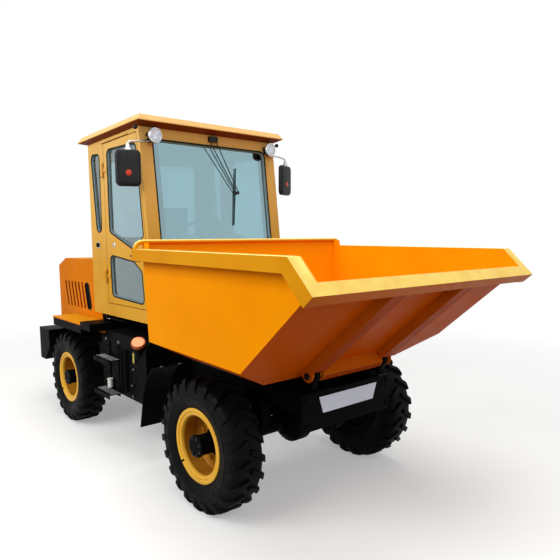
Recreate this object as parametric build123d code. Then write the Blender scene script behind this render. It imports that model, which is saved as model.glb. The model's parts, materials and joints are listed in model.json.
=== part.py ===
from build123d import *
import math
import os

# Site dumper with a forward-tipping skip over the front axle, a steered rear axle, a glazed cab
# behind the skip and an engine hood behind the cab.
# Millimetres. +X points forward (towards the skip's lip), +Y to the vehicle's left, +Z up.
# The origin is on the ground, halfway along the length and on the centre line.

# ---------------------------------------------------------------- driving dimensions
WHEELBASE = 2228.0
LIP_REACH = 1152.0          # front axle to the foremost edge of the skip's lip
REAR_OVERHANG = 872.0       # rear axle to the back face of the counterweight
TRACK = 1474.0              # between the wheels' middle planes
KING_PIN_SPAN = 1160.0      # between the two king pins

TYRE_RADIUS = 432.5
TYRE_WIDTH = 250.0
LUGS = 22                   # on each side of the tread, set half a step apart
LUG_SLANT = 34.0            # a lug's ends, ahead of and behind its middle
LUG_HALF = (17.0, 24.0)     # half-width near the tread's middle and at the shoulder
LUG_INSET = 5.0             # from the tread's middle plane
LUG_SHOULDER = 22.0         # inside the tyre's side, where a lug turns down
LUG_FALL = 17.0             # how far it spreads on its way down
TREAD_DEPTH = 22.0
TREAD_EDGE = 38.0           # inside the tyre's side
SIDEWALL_DROP = 110.0       # tyre's radius less that of its widest line
RIM_RADIUS = 242.0          # over the flanges
RIM_WIDTH = 206.0
BEAD_RADIUS = 203.0
RIM_WALL = 9.0
DISC_THICKNESS = 12.0
DISC_INSET = 45.0           # wheel's middle plane to the disc's outer face, inwards
HUB_RADIUS = 68.0
HUB_REACH = 78.0            # wheel's middle plane to the hub's outer face
HUB_BACK = 75.0             # wheel's middle plane to the hub's inner face
SPINDLE_RADIUS = 35.0
DRUM_RADIUS = 105.0
DRUM_WIDTH = 22.0
PIN_CLEARANCE = 0.05        # radial, every running pin and shaft
RUNNING_GAP = 5.0           # between faces that turn or swing past each other
SEAT_GAP = 0.3              # between round faces that seat on each other

AXLE_TUBE_RADIUS = 58.0
DIFF_RADIUS = 155.0
DIFF_WIDTH = 230.0

RAIL_OUTER = 340.0
RAIL_INNER = 260.0
RAIL_BOTTOM = 640.0
RAIL_TOP = 840.0
RAIL_FRONT = 490.0          # ahead of the front axle
PAD_X = (180.0, 300.0)      # behind the front axle
PAD_GAP = 5.0               # under the skip's floor at rest

SHEET = 8.0                 # skip panels
REAR_WALL = 10.0
SKIP_HALF = 932.0
SKIP_FLOOR = 880.0
SKIP_REAR = 391.0           # behind the front axle, at the floor
SKIP_REAR_RAKE = 0.0887     # rearwards for each mm upwards
SKIP_FLOOR_FRONT = 408.0    # ahead of the front axle
FLOOR_HALF_FRONT = 630.0    # half-width of the floor at its front edge
FOLD_FRONT = (567.0, 1026.0)
FOLD_REAR = (-407.0, 1056.0)
RIM_REAR_TOP = 1673.5
BEND = (998.0, 1646.0)      # where the side rim turns down towards the lip
LIP_HEIGHT = 1481.0
REAR_WALL_TOP = 1715.0
SKIP_RIM_WIDTH = 79.0
SKIP_RIM_DEPTH = 75.0
LIP_TUBE_DEPTH = 70.0
REAR_BAR_RADIUS = 15.0      # round bar along the rear wall's top
REAR_BAR_TOP = 1735.0
REAR_BAR_BEND = 60.0
RIB_INNER = 270.0
RIB_OUTER = 380.0
RIB_DEPTH = 60.0
RIB_WALL = 10.0
HINGE_BEAM_HALF = 32.0
HINGE_AHEAD = 518.0
HINGE_HEIGHT = 913.0
HINGE_PIN_RADIUS = 20.0
HINGE_EAR_RADIUS = 40.0
HINGE_EAR_THICKNESS = 30.0
EAR_ROOT = 30.0             # below the rail's top
TIP_ANGLE = 60.0

RAM_FOOT = (400.0, 520.0)   # ahead of the front axle, height
RAM_EYE = (-150.0, 800.0)
RAM_BARREL_RADIUS = 45.0
RAM_BARREL_START = 35.0
RAM_BARREL_END = 490.0
RAM_ROD_RADIUS = 25.0
RAM_ROD_START = 60.0
RAM_EYE_RADIUS = 32.0
RAM_EYE_WIDTH = 50.0
RAM_LUG = 12.0
RAM_FOOT_RADIUS = 35.0
RAM_FOOT_EYE_RADIUS = 40.0
RAM_EAR_ROOT = 90.0             # half the ear's length at the floor

STEER_ARM = 190.0
STEER_ARM_INSET = 40.0
STEER_ROD_RADIUS = 16.0
STEER_BARREL_RADIUS = 34.0
STEER_BARREL_HALF = 190.0
STEER_DROP = 100.0          # below the rear axle's centre
STEER_BRACKET = 25.0
STEER_BRACKET_INSET = 20.0

CAB_HALF = 670.0
CAB_BACK = 1915.0           # behind the front axle
CAB_FLOOR = 1090.0
CAB_TOP = 2583.0
CAB_FRONT = 769.0           # behind the front axle, at the floor
CAB_RAKE = 0.1229           # rearwards for each mm upwards
CAB_WALL = 45.0
ROOF_BACK = 2023.0
ROOF_FRONT = 869.0
ROOF_HALF = 720.0
ROOF_RISE = 25.0            # from the cab's top to the edge's foot
ROOF_EDGE = 8.0
ROOF_CROWN = 44.0           # above the edge
ROOF_SLOPE = 30.0           # the top stands in from the edge
ROOF_SEAT = 4.0             # the foot stands out past the cab
SCREEN_HALF = 560.0
SCREEN_BOTTOM = 1560.0
SCREEN_TOP = CAB_TOP - 87.0
GLASS = 6.0
DOOR_THICKNESS = 38.0
DOOR_BACK = 1596.0
DOOR_BOTTOM = 1200.0
DOOR_TOP = CAB_TOP - 38.0
DOOR_FRONT_INSET = 52.0     # behind the cab's raked front face
DOOR_GAP = 7.0
DOOR_HINGE_X = 1603.0
DOOR_HINGE_OUT = 16.0       # hinge axis outside the cab's side face
DOOR_HINGE_HEIGHTS = (1432.0, CAB_TOP - 251.0)
DOOR_HINGE_RADIUS = 14.0
DOOR_HINGE_PIN = 8.0
DOOR_HINGE_LENGTH = 114.0
DOOR_HINGE_PLATE = 6.0
DOOR_HINGE_LEAF = 60.0      # plate beside the hinge's axis
KNUCKLE_PLAY = 1.0          # between a hinge's knuckles
WINDOW_ROUND = 45.0         # corner radius of the small windows
SCREEN_ROUND = 50.0

HOOD_BACK = 3040.0
HOOD_FRONT = 1930.0
HOOD_INSET = 10.0           # inside the deck's edge
HOOD_BOTTOM = 920.0
HOOD_TOP = 1567.0
HOOD_SHEET = 6.0
HOOD_BEVEL_X = 2830.0
HOOD_BEVEL_Z = 1486.0
LOUVRES = 6                 # on each side
LOUVRE_X = 2869.0           # behind the front axle, the rearmost louvre's upper rear corner
LOUVRE_PITCH = 90.0
LOUVRE_WIDTH = 32.0
LOUVRE_LEAN = 65.0          # the foot stands that far ahead of the head
VENT_Z = (1070.0, 1330.0)   # the louvres' and the vent's
VENT_X = 2340.0             # behind the front axle, the vent's upper rear corner
VENT_WIDTH = 110.0
VENT_ROUND = 40.0
VENT_LAP = 15.0             # its panel behind the hood's side
VENT_SHEET = 3.0
HOOD_HINGE_RADIUS = 12.0
HOOD_HINGE_PIN = 8.0
DECK_LEGS = [(2010.0, 2090.0), (2720.0, 2800.0)]     # x from, x to (behind the front axle)
DECK_TOP = 914.0
DECK_BOTTOM = 880.0
DECK_HALF = 600.0
HOOD_HALF = DECK_HALF - HOOD_INSET

BUMPER_FRONT = 2800.0
BUMPER_HALF = 820.0
BUMPER_BOTTOM = 480.0
BUMPER_TOP = 820.0
BUMPER_LEAN = 148.0         # its front foot, behind its front face
TOW_PIN_RADIUS = 16.0
TOW_SLOT_HALF = 60.0
TOW_SLOT_Z = (630.0, 750.0)
TOW_SLOT_DEPTH = 110.0
TOW_PIN_INSET = 35.0
TOW_PIN_FOOT = 40.0         # blind hole under the jaw

TANK_BACK = 1590.0
TANK_FRONT = 800.0
TANK_OUTER = 750.0
TANK_BOTTOM = 500.0
TANK_TOP = 960.0
TANK_CHAMFER = 45.0

YOKE_RADIUS = 40.0
YOKE_WEB = (440.0, 500.0)
YOKE_ARM_Z = (80.0, 110.0)
YOKE_HALF = 35.0
KNUCKLE_RADIUS = 38.0
KING_PIN_RADIUS = 18.0
STEER_ARM_Z = (-74.0, -44.0)
STEER_ARM_HALF = 20.0

CROSS_MEMBERS = [
    # x from, x to (from the front axle), z from, z to
    (425.0, 490.0, 640.0, 720.0),
    (-700.0, -620.0, 680.0, 800.0),
    (-1560.0, -1480.0, 680.0, 800.0),
    (-2800.0, -2740.0, 660.0, 820.0),
]
CAB_POSTS = [(-1870.0, -1790.0), (-940.0, -860.0)]     # x from, x to (from the front axle)
CAB_BEAM_DEPTH = 60.0
CAB_BEAM_INSET = 70.0           # inside the cab's side faces

PANEL_SHEET = 25.0
PANEL_HALF = 420.0
PANEL_BOTTOM = 560.0
PANEL_TOP = 800.0
PLATE_THICKNESS = 4.0
PLATE_OUTLINE = [(-277.0, 765.0), (277.0, 765.0), (240.0, 660.0), (-240.0, 660.0)]   # y, z

ENGINE_X = (2180.0, 2740.0)     # behind the front axle
ENGINE_ROOM = 60.0
ENGINE_HALF = 190.0
ENGINE_Z = (600.0, 1150.0)
ENGINE_FOOT = (60.0, 160.0)     # from each end of the engine
ENGINE_FOOT_LAP = 40.0          # on the rail
ENGINE_FOOT_DEPTH = 30.0
GEARBOX_X = (1060.0, 1400.0)
GEARBOX_HALF = 150.0
GEARBOX_Z = (400.0, 700.0)
GEARBOX_HANGER = (100.0, 180.0)     # from its rear face
GEARBOX_HANGER_RISE = 20.0          # above the rails' bottom
SHAFT_RADIUS = 32.0

CAP_PLACE = (959.0, 711.0, 813.0)   # neck's root: behind the front axle, from the centre line, height
CAP_WAY = (0.5, -0.35, 0.79)    # the right-hand cap faces forwards, outwards and up
CAP_REACH = 200.0               # from the neck's root to the cap's outer face
CAP_NECK_RADIUS = 42.0
CAP_RADIUS = 55.0
CAP_HEIGHT = 32.0
STEP_X = (1234.0, 1534.0)       # behind the front axle
STEP_OUT = 115.0
STEP_PLATE = 6.0
STEP_LIP = 35.0
STEP_HEIGHTS = (480.0, 765.0)
STEP_STRAPS = [(1260.0, 1330.0), (1430.0, 1500.0)]   # x from, x to (behind the front axle)
STEP_STRAP = 8.0
STEP_STRAP_TOP = 900.0

GUARD_Y = (640.0, 860.0)
GUARD_SHEET = 6.0
GUARD_STAY = 20.0
GUARD_LINE = [(390.0, 872.0), (520.0, 840.0), (610.0, 740.0), (655.0, 620.0), (715.0, 360.0)]

FENDER_X = (1840.0, 2560.0)     # behind the front axle
FENDER_OUTER = 850.0
FENDER_TOP = 1000.0
FENDER_SKIRT = 90.0
FENDER_EDGE = 14.0
FENDER_SHEET = 6.0
FENDER_BOX_X = (1620.0, 1840.0)
FENDER_BOX_TOP = 1020.0
FENDER_BOX_INSET = 30.0         # outside the deck's edge

QUARTER_WINDOW = [
    # x from the front axle, z
    (-1857.0, CAB_TOP - 94.0),
    (-1681.0, CAB_TOP - 109.0),
    (-1685.0, 1814.0),
    (-1781.0, 1816.0),
]
DOOR_WINDOW_HIGH = [
    # x from the front axle, z
    (-1526.0, CAB_TOP - 94.0),
    (-1521.0, 1810.0),
    (-1107.0, 1667.0),
    (-925.0, 1760.0),
    (-1010.0, CAB_TOP - 113.0),
]
DOOR_WINDOW_LOW = [
    # x from the front axle, z
    (-1529.0, 1615.0),
    (-1511.0, 1263.0),
    (-938.0, 1236.0),
    (-969.0, 1491.0),
    (-1098.0, 1565.0),
]
REAR_WINDOW_HALF = 470.0
REAR_WINDOW_Z = (1760.0, CAB_TOP - 113.0)

CONSOLE_X = (880.0, 1010.0)
CONSOLE_HALF = 240.0
CONSOLE_TOP = 1560.0
COLUMN_X = (960.0, 1130.0)      # foot and top, behind the front axle
COLUMN_RISE = 240.0             # above the seat
COLUMN_FOOT_DROP = 60.0         # below the console's top
COLUMN_HUB = 30.0
COLUMN_HUB_RADIUS = 36.0
SPOKE_RADIUS = 9.0
COLUMN_RADIUS = 22.0
WHEEL_RING_RADIUS = 185.0
WHEEL_RING_WIRE = 14.0
SEAT_X = (1260.0, 1720.0)
SEAT_HALF = 240.0
SEAT_HEIGHT = 1560.0
SEAT_THICKNESS = 110.0
BACKREST_HEIGHT = 520.0
BACKREST_INSET = 15.0
BACKREST_FOOT = 110.0
BACKREST_HEAD = 90.0
BACKREST_LEAN = 30.0
PEDESTAL_INSET = (40.0, 60.0)   # at the seat's back and front
PEDESTAL_SIDE = 40.0

LAMP_Y = 575.0
LAMP_DROP = 73.0               # under the roof
LAMP_RADIUS = 57.0
LAMP_DEPTH = 60.0
LAMP_STALK_RADIUS = 14.0
LAMP_OUT = 22.0                # can's back, ahead of the cab's front face
MIRROR_SIZE = (40.0, 190.0, 265.0)
MIRROR_ROUND = 36.0
MIRROR_X = 908.0                # behind the front axle
MIRROR_Y = 788.0
MIRROR_TURN = 19.0              # degrees, the glass looks inwards
MIRROR_DROP = 321.0             # under the roof
MIRROR_ARM_RISE = 58.0          # above the head
MIRROR_POST_RADIUS = 12.0
ARM_RADIUS = 10.0

HOOD_HINGE_RISE = 15.0          # above the hood's top
HOOD_HINGE_BACK = 10.0          # behind the hood's front edge
HOOD_HINGE_PLACES = (-420.0, 420.0)
HOOD_HINGE_LENGTH = 60.0
HOOD_HINGE_STRAP = 70.0

# ---------------------------------------------------------------- stations worked out from them
FRONT_X = (WHEELBASE + REAR_OVERHANG - LIP_REACH) / 2.0
REAR_X = FRONT_X - WHEELBASE
BACK_X = REAR_X - REAR_OVERHANG
AXLE_Z = TYRE_RADIUS
WHEEL_Y = TRACK / 2.0
KING_PIN_Y = KING_PIN_SPAN / 2.0
HINGE = (FRONT_X + HINGE_AHEAD, HINGE_HEIGHT)


def ahead(distance):
    """The X of a place that many millimetres ahead of the front axle."""
    return FRONT_X + distance


def behind(distance):
    """The X of a place that many millimetres behind the front axle."""
    return FRONT_X - distance


# ---------------------------------------------------------------- small makers
def block(x, y, z):
    """A box from three (low, high) pairs."""
    size = Box(x[1] - x[0], y[1] - y[0], z[1] - z[0])
    return Pos((x[0] + x[1]) / 2.0, (y[0] + y[1]) / 2.0, (z[0] + z[1]) / 2.0) * size


def side_prism(outline, y):
    """A prism across the vehicle from an (x, z) outline and a (low, high) pair of Y."""
    face = Face(Wire.make_polygon([(px, y[0], pz) for px, pz in outline]))
    return Part() + Solid.extrude(face, Vector(0, y[1] - y[0], 0))


def end_prism(outline, x):
    """A prism along the vehicle from a (y, z) outline and a (low, high) pair of X."""
    face = Face(Wire.make_polygon([(x[0], py, pz) for py, pz in outline]))
    return Part() + Solid.extrude(face, Vector(x[1] - x[0], 0, 0))


def rounded_prism(outline, y, radius):
    """A prism across the vehicle from an (x, z) outline with rounded corners and a (low, high) pair of Y."""
    face = Face(Wire.make_polygon([(px, y[0], pz) for px, pz in outline]))
    face = face.fillet_2d(radius, face.vertices())
    return Part() + Solid.extrude(face, Vector(0, y[1] - y[0], 0))


def rounded_pane(width, height, radius, x):
    """An upright pane across the vehicle: (low, high) pairs of Y, Z and X, with rounded corners."""
    corners = [(width[0], height[0]), (width[1], height[0]), (width[1], height[1]), (width[0], height[1])]
    face = Face(Wire.make_polygon([(x[0], py, pz) for py, pz in corners]))
    face = face.fillet_2d(radius, face.vertices())
    return Part() + Solid.extrude(face, Vector(x[1] - x[0], 0, 0))


def plan_prism(outline, z):
    """An upright prism from an (x, y) outline and a (low, high) pair of Z."""
    face = Face(Wire.make_polygon([(px, py, z[0]) for px, py in outline]))
    return Part() + Solid.extrude(face, Vector(0, 0, z[1] - z[0]))


def unit(vector):
    """A vector of length one."""
    return vector.normalized()


def bar(start, end, radius):
    """A round bar between two points."""
    along = Vector(end) - Vector(start)
    return Part() + Solid.make_cylinder(radius, along.length, Plane(Vector(start), z_dir=along))


def ring(start, end, radius, bore):
    """A round tube between two points."""
    return bar(start, end, radius) - bar(start, end, bore)


def turned(outline, centre):
    """A ring turned about a cross-vehicle axis from a closed (radius, y) outline."""
    x, y, z = centre
    face = Face(Wire.make_polygon([(x + r, y + w, z) for r, w in outline]))
    return Part() + Solid.revolve(face, 360, Axis((x, y, z), (0, 1, 0)))


def faceted_ring(outline, sides, start):
    """A ring of flat facets about the origin's cross-vehicle axis, from a closed (radius, y) outline."""
    def corner(radius, y, number):
        angle = start + 2.0 * math.pi * number / sides
        return (radius * math.sin(angle), y, -radius * math.cos(angle))

    faces = []
    for number in range(sides):
        for (r0, y0), (r1, y1) in zip(outline, outline[1:] + outline[:1]):
            quad = [corner(r0, y0, number), corner(r1, y1, number)]
            quad += [corner(r1, y1, number + 1), corner(r0, y0, number + 1)]
            faces.append(Face(Wire.make_polygon(quad)))
    return Solid(Shell(faces))


def mirrored(shape):
    """The same piece on the vehicle's right."""
    return mirror(shape, about=Plane.XZ)


def both(shape):
    """A left-hand piece together with its right-hand twin."""
    return shape + mirrored(shape)


def plane_below(shape, origin, normal):
    """What lies on the side of a plane that its normal points away from."""
    return split(shape, bisect_by=Plane(Vector(origin), z_dir=Vector(normal)), keep=Keep.BOTTOM)


def save(name, shape):
    """Writes one node."""
    export_step(shape, os.path.join("parts", name + ".step"))


# ---------------------------------------------------------------- wheels
def tread_lug(top):
    """A lug left of the tyre's middle, pointing down, with its flat tip that far below the origin."""
    half = TYRE_WIDTH / 2.0
    plan = [
        (LUG_SLANT - LUG_HALF[0], LUG_INSET),
        (LUG_SLANT + LUG_HALF[0], LUG_INSET),
        (LUG_HALF[1] - LUG_SLANT, half + LUG_HALF[1]),
        (-LUG_HALF[1] - LUG_SLANT, half + LUG_HALF[1]),
    ]
    face = Face(Wire.make_polygon([(x, y, -top) for x, y in plan]))
    lug = Part() + Solid.extrude(face, Vector(0, 0, top - TYRE_RADIUS + SIDEWALL_DROP - RUNNING_GAP))
    fall = top - TYRE_RADIUS + SIDEWALL_DROP - 2.0 * RUNNING_GAP
    return plane_below(lug, (0, half - LUG_SHOULDER, -top), (0, fall, -LUG_FALL))


def tyre():
    """A lug tyre round the origin: a faceted carcass on the rim's bead seats with chevron lugs."""
    half = TYRE_WIDTH / 2.0
    step = 2.0 * math.pi / LUGS
    lean = step / 4.0
    grow = 1.0 / math.cos(step / 2.0)
    bead_half = RIM_WIDTH / 2.0 - RIM_WALL - SEAT_GAP
    side = [
        # radius, distance from the middle plane
        ((BEAD_RADIUS + SEAT_GAP) * grow, bead_half),
        ((RIM_RADIUS + RUNNING_GAP) * grow, bead_half),
        ((TYRE_RADIUS - SIDEWALL_DROP) * grow, half),
        ((TYRE_RADIUS - TREAD_DEPTH) * grow, half - TREAD_EDGE),
    ]
    carcass = faceted_ring(side + [(r, -w) for r, w in reversed(side)], LUGS, lean - step / 2.0)
    top = (TYRE_RADIUS - (LUG_SLANT + LUG_HALF[0]) * math.sin(lean)) / math.cos(lean)
    left = tread_lug(top)
    right = mirrored(left)
    lugs = []
    for number in range(LUGS):
        turn = math.degrees(lean + step * number)
        lugs += (Rot(0, -turn, 0) * left).solids()
        lugs += (Rot(0, -turn - math.degrees(step / 2.0), 0) * right).solids()
    return Part() + (Part() + carcass).fuse(*lugs)


def wheel(centre):
    """A left-hand wheel: deep-dished rim with its flanges, disc and bolted hub."""
    half = RIM_WIDTH / 2.0
    inner = BEAD_RADIUS - RIM_WALL
    rim = turned(
        [
            (inner, half),
            (RIM_RADIUS, half),
            (RIM_RADIUS, half - RIM_WALL),
            (BEAD_RADIUS, half - RIM_WALL),
            (BEAD_RADIUS, RIM_WALL - half),
            (RIM_RADIUS, RIM_WALL - half),
            (RIM_RADIUS, -half),
            (inner, -half),
        ],
        centre,
    )
    x, y, z = centre
    disc_face = y - DISC_INSET
    disc = bar((x, disc_face - DISC_THICKNESS, z), (x, disc_face, z), inner + RIM_WALL / 2.0)
    hub = bar((x, y - HUB_BACK, z), (x, y + HUB_REACH, z), HUB_RADIUS)
    bore_end = y + HUB_REACH / 2.0
    bore = bar((x, y - HUB_BACK - 1.0, z), (x, bore_end, z), SPINDLE_RADIUS + PIN_CLEARANCE)
    return rim + disc + hub - bore


def spindle(x):
    """A left-hand brake drum and spindle, up to inside the hub."""
    inner = WHEEL_Y - HUB_BACK - RUNNING_GAP
    drum = bar((x, inner - DRUM_WIDTH, AXLE_Z), (x, inner, AXLE_Z), DRUM_RADIUS)
    reach = WHEEL_Y + HUB_REACH / 2.0 - RUNNING_GAP
    return drum + bar((x, inner, AXLE_Z), (x, reach, AXLE_Z), SPINDLE_RADIUS)


def differential(x):
    """A round-bellied differential housing on the centre line."""
    half = DIFF_WIDTH / 2.0
    belly = [
        (0.0, -half),
        (DIFF_RADIUS * 0.55, -half),
        (DIFF_RADIUS, -half * 0.4),
        (DIFF_RADIUS, half * 0.4),
        (DIFF_RADIUS * 0.55, half),
        (0.0, half),
    ]
    return turned(belly, (x, 0.0, AXLE_Z))


def front_axle():
    """The driven front axle, bolted under the rails."""
    drum_back = WHEEL_Y - HUB_BACK - RUNNING_GAP - DRUM_WIDTH
    tube = bar((FRONT_X, -drum_back, AXLE_Z), (FRONT_X, drum_back, AXLE_Z), AXLE_TUBE_RADIUS)
    seat = block(
        (FRONT_X - AXLE_TUBE_RADIUS, FRONT_X + AXLE_TUBE_RADIUS),
        (RAIL_INNER, RAIL_OUTER),
        (AXLE_Z, RAIL_BOTTOM),
    )
    return tube + differential(FRONT_X) + both(seat + spindle(FRONT_X))


def rear_axle():
    """The driven, steered rear axle with a yoke at each end and the steering cylinder's barrel."""
    tube = bar((REAR_X, -YOKE_WEB[0], AXLE_Z), (REAR_X, YOKE_WEB[0], AXLE_Z), AXLE_TUBE_RADIUS)
    seat = block(
        (REAR_X - AXLE_TUBE_RADIUS, REAR_X + AXLE_TUBE_RADIUS),
        (RAIL_INNER, RAIL_OUTER),
        (AXLE_Z, RAIL_BOTTOM),
    )
    web = block(
        (REAR_X - YOKE_RADIUS, REAR_X + YOKE_RADIUS),
        YOKE_WEB,
        (AXLE_Z - YOKE_ARM_Z[1], AXLE_Z + YOKE_ARM_Z[1]),
    )
    end = seat + web
    for low, high in (YOKE_ARM_Z, (-YOKE_ARM_Z[1], -YOKE_ARM_Z[0])):
        z = (AXLE_Z + low, AXLE_Z + high)
        arm = block((REAR_X - YOKE_HALF, REAR_X + YOKE_HALF), (YOKE_WEB[1], KING_PIN_Y), z)
        eye = bar((REAR_X, KING_PIN_Y, z[0]), (REAR_X, KING_PIN_Y, z[1]), YOKE_RADIUS)
        end = end + arm + eye
    bore = bar(
        (REAR_X, KING_PIN_Y, AXLE_Z - 2.0 * YOKE_ARM_Z[1]),
        (REAR_X, KING_PIN_Y, AXLE_Z + 2.0 * YOKE_ARM_Z[1]),
        KING_PIN_RADIUS + PIN_CLEARANCE,
    )
    shaft_end = KING_PIN_Y - KNUCKLE_RADIUS - RUNNING_GAP
    shaft = bar((REAR_X, YOKE_WEB[1], AXLE_Z), (REAR_X, shaft_end, AXLE_Z), SPINDLE_RADIUS)
    end = end - bore + shaft
    x = REAR_X - STEER_ARM
    z = AXLE_Z - STEER_DROP
    barrel = bar((x, -STEER_BARREL_HALF, z), (x, STEER_BARREL_HALF, z), STEER_BARREL_RADIUS)
    bracket_y = STEER_BARREL_HALF - STEER_BRACKET_INSET
    bracket = block(
        (x, REAR_X),
        (bracket_y - STEER_BRACKET, bracket_y),
        (z + STEER_BARREL_RADIUS / 2.0, AXLE_Z - STEER_BARREL_RADIUS / 2.0),
    )
    rod_bore = bar(
        (x, -STEER_BARREL_HALF - 1.0, z),
        (x, STEER_BARREL_HALF + 1.0, z),
        STEER_ROD_RADIUS + PIN_CLEARANCE,
    )
    return tube + differential(REAR_X) + both(end + bracket) + barrel - rod_bore


def knuckle():
    """A left-hand steering knuckle: king pin, drum, spindle and the arm behind it."""
    z = AXLE_Z
    swivel = bar(
        (REAR_X, KING_PIN_Y, z - YOKE_ARM_Z[0] + RUNNING_GAP),
        (REAR_X, KING_PIN_Y, z + YOKE_ARM_Z[0] - RUNNING_GAP),
        KNUCKLE_RADIUS,
    )
    pin = bar(
        (REAR_X, KING_PIN_Y, z - YOKE_ARM_Z[1]),
        (REAR_X, KING_PIN_Y, z + YOKE_ARM_Z[1]),
        KING_PIN_RADIUS,
    )
    drum_back = WHEEL_Y - HUB_BACK - RUNNING_GAP - DRUM_WIDTH
    neck = bar((REAR_X, KING_PIN_Y, z), (REAR_X, drum_back, z), SPINDLE_RADIUS)
    arm_z = (z + STEER_ARM_Z[0], z + STEER_ARM_Z[1])
    tip = (REAR_X - STEER_ARM, KING_PIN_Y - STEER_ARM_INSET)
    arm = plan_prism(
        [
            (REAR_X, KING_PIN_Y - STEER_ARM_HALF),
            (REAR_X, KING_PIN_Y + STEER_ARM_HALF),
            (tip[0], tip[1] + STEER_ARM_HALF),
            (tip[0], tip[1] - STEER_ARM_HALF),
        ],
        arm_z,
    )
    boss = bar((tip[0], tip[1], arm_z[0]), (tip[0], tip[1], arm_z[1]), STEER_ARM_HALF)
    return swivel + pin + neck + spindle(REAR_X) + arm + boss


def steer_rod():
    """The steering cylinder's through rod, with an eye under each knuckle arm."""
    x = REAR_X - STEER_ARM
    z = AXLE_Z - STEER_DROP
    y = KING_PIN_Y - STEER_ARM_INSET
    rod = bar((x, -y, z), (x, y, z), STEER_ROD_RADIUS)
    eye_top = AXLE_Z + STEER_ARM_Z[0] - RUNNING_GAP / 2.0
    eye = bar((x, y, z - STEER_ROD_RADIUS), (x, y, eye_top), STEER_ARM_HALF)
    return rod + both(eye)


# ---------------------------------------------------------------- chassis
def chassis():
    """Two rails, their cross members, the cab's posts, the engine deck and the skip's ears."""
    rear_end = behind(BUMPER_FRONT)
    frame = both(block((rear_end, ahead(RAIL_FRONT)), (RAIL_INNER, RAIL_OUTER), (RAIL_BOTTOM, RAIL_TOP)))
    for x0, x1, z0, z1 in CROSS_MEMBERS:
        frame = frame + block((ahead(x0), ahead(x1)), (-RAIL_INNER, RAIL_INNER), (z0, z1))
    for x0, x1 in CAB_POSTS:
        post = block((ahead(x0), ahead(x1)), (RAIL_INNER, RAIL_OUTER), (RAIL_TOP, CAB_FLOOR))
        beam = block(
            (ahead(x0), ahead(x1)),
            (CAB_BEAM_INSET - CAB_HALF, CAB_HALF - CAB_BEAM_INSET),
            (CAB_FLOOR - CAB_BEAM_DEPTH, CAB_FLOOR),
        )
        frame = frame + both(post) + beam
    deck = block((behind(HOOD_BACK), behind(HOOD_FRONT)), (-DECK_HALF, DECK_HALF), (DECK_BOTTOM, DECK_TOP))
    well = block(
        (behind(ENGINE_X[1] + ENGINE_ROOM), behind(ENGINE_X[0] - ENGINE_ROOM)),
        (-RAIL_INNER, RAIL_INNER),
        (DECK_BOTTOM, DECK_TOP),
    )
    for x0, x1 in DECK_LEGS:
        leg = block((behind(x1), behind(x0)), (RAIL_INNER, RAIL_OUTER), (RAIL_TOP, DECK_BOTTOM))
        frame = frame + both(leg)
    frame = frame + (deck - well)
    ear_mid = (RIB_INNER + RIB_OUTER) / 2.0
    ear_y = (ear_mid - HINGE_EAR_THICKNESS / 2.0, ear_mid + HINGE_EAR_THICKNESS / 2.0)
    corner = HINGE_EAR_RADIUS * math.sqrt(0.5)
    ear = side_prism(
        [
            (HINGE[0] - 2.75 * HINGE_EAR_RADIUS, RAIL_TOP - EAR_ROOT),
            (ahead(RAIL_FRONT), RAIL_TOP - EAR_ROOT),
            (HINGE[0] + corner, HINGE[1] - corner),
            (HINGE[0] - corner, HINGE[1] + corner),
        ],
        ear_y,
    )
    ear = ear + bar((HINGE[0], ear_y[0], HINGE[1]), (HINGE[0], ear_y[1], HINGE[1]), HINGE_EAR_RADIUS)
    hole = bar(
        (HINGE[0], ear_y[0] - 1.0, HINGE[1]),
        (HINGE[0], ear_y[1] + 1.0, HINGE[1]),
        HINGE_PIN_RADIUS + PIN_CLEARANCE,
    )
    pad = block(
        (behind(PAD_X[1]), behind(PAD_X[0])),
        (RAIL_INNER, RAIL_OUTER),
        (RAIL_TOP, SKIP_FLOOR - PAD_GAP),
    )
    foot = (ahead(RAM_FOOT[0]), RAM_FOOT[1])
    lug_y = (RAM_BARREL_RADIUS + RUNNING_GAP, RAM_BARREL_RADIUS + RUNNING_GAP + RAM_LUG)
    front_member = CROSS_MEMBERS[0]
    lug = side_prism(
        [
            (foot[0] - RAM_FOOT_RADIUS, foot[1]),
            (foot[0] + RAM_FOOT_RADIUS, foot[1]),
            (ahead(front_member[1]), front_member[2]),
            (ahead(front_member[0]), front_member[2]),
        ],
        lug_y,
    )
    lug = lug + bar((foot[0], lug_y[0], foot[1]), (foot[0], lug_y[1], foot[1]), RAM_FOOT_RADIUS)
    pin = bar((foot[0], -lug_y[1], foot[1]), (foot[0], lug_y[1], foot[1]), HINGE_PIN_RADIUS)
    return frame + both((ear - hole) + pad + lug) + pin


def front_panel():
    """The panel across the rails' front ends, between the front wheels."""
    x = ahead(RAIL_FRONT)
    return block((x, x + PANEL_SHEET), (-PANEL_HALF, PANEL_HALF), (PANEL_BOTTOM, PANEL_TOP))


def name_plate():
    """A blank trapezoid plate on the front panel."""
    x = ahead(RAIL_FRONT) + PANEL_SHEET
    return end_prism(PLATE_OUTLINE, (x, x + PLATE_THICKNESS))


def engine():
    """The diesel engine as one block, its feet on the rails."""
    x = (behind(ENGINE_X[1]), behind(ENGINE_X[0]))
    shape = block(x, (-ENGINE_HALF, ENGINE_HALF), ENGINE_Z)
    near, far = ENGINE_FOOT
    for start, end in ((x[0] + near, x[0] + far), (x[1] - far, x[1] - near)):
        foot = block(
            (start, end),
            (ENGINE_HALF, RAIL_INNER + ENGINE_FOOT_LAP),
            (RAIL_TOP, RAIL_TOP + ENGINE_FOOT_DEPTH),
        )
        shape = shape + both(foot)
    return shape


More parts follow.
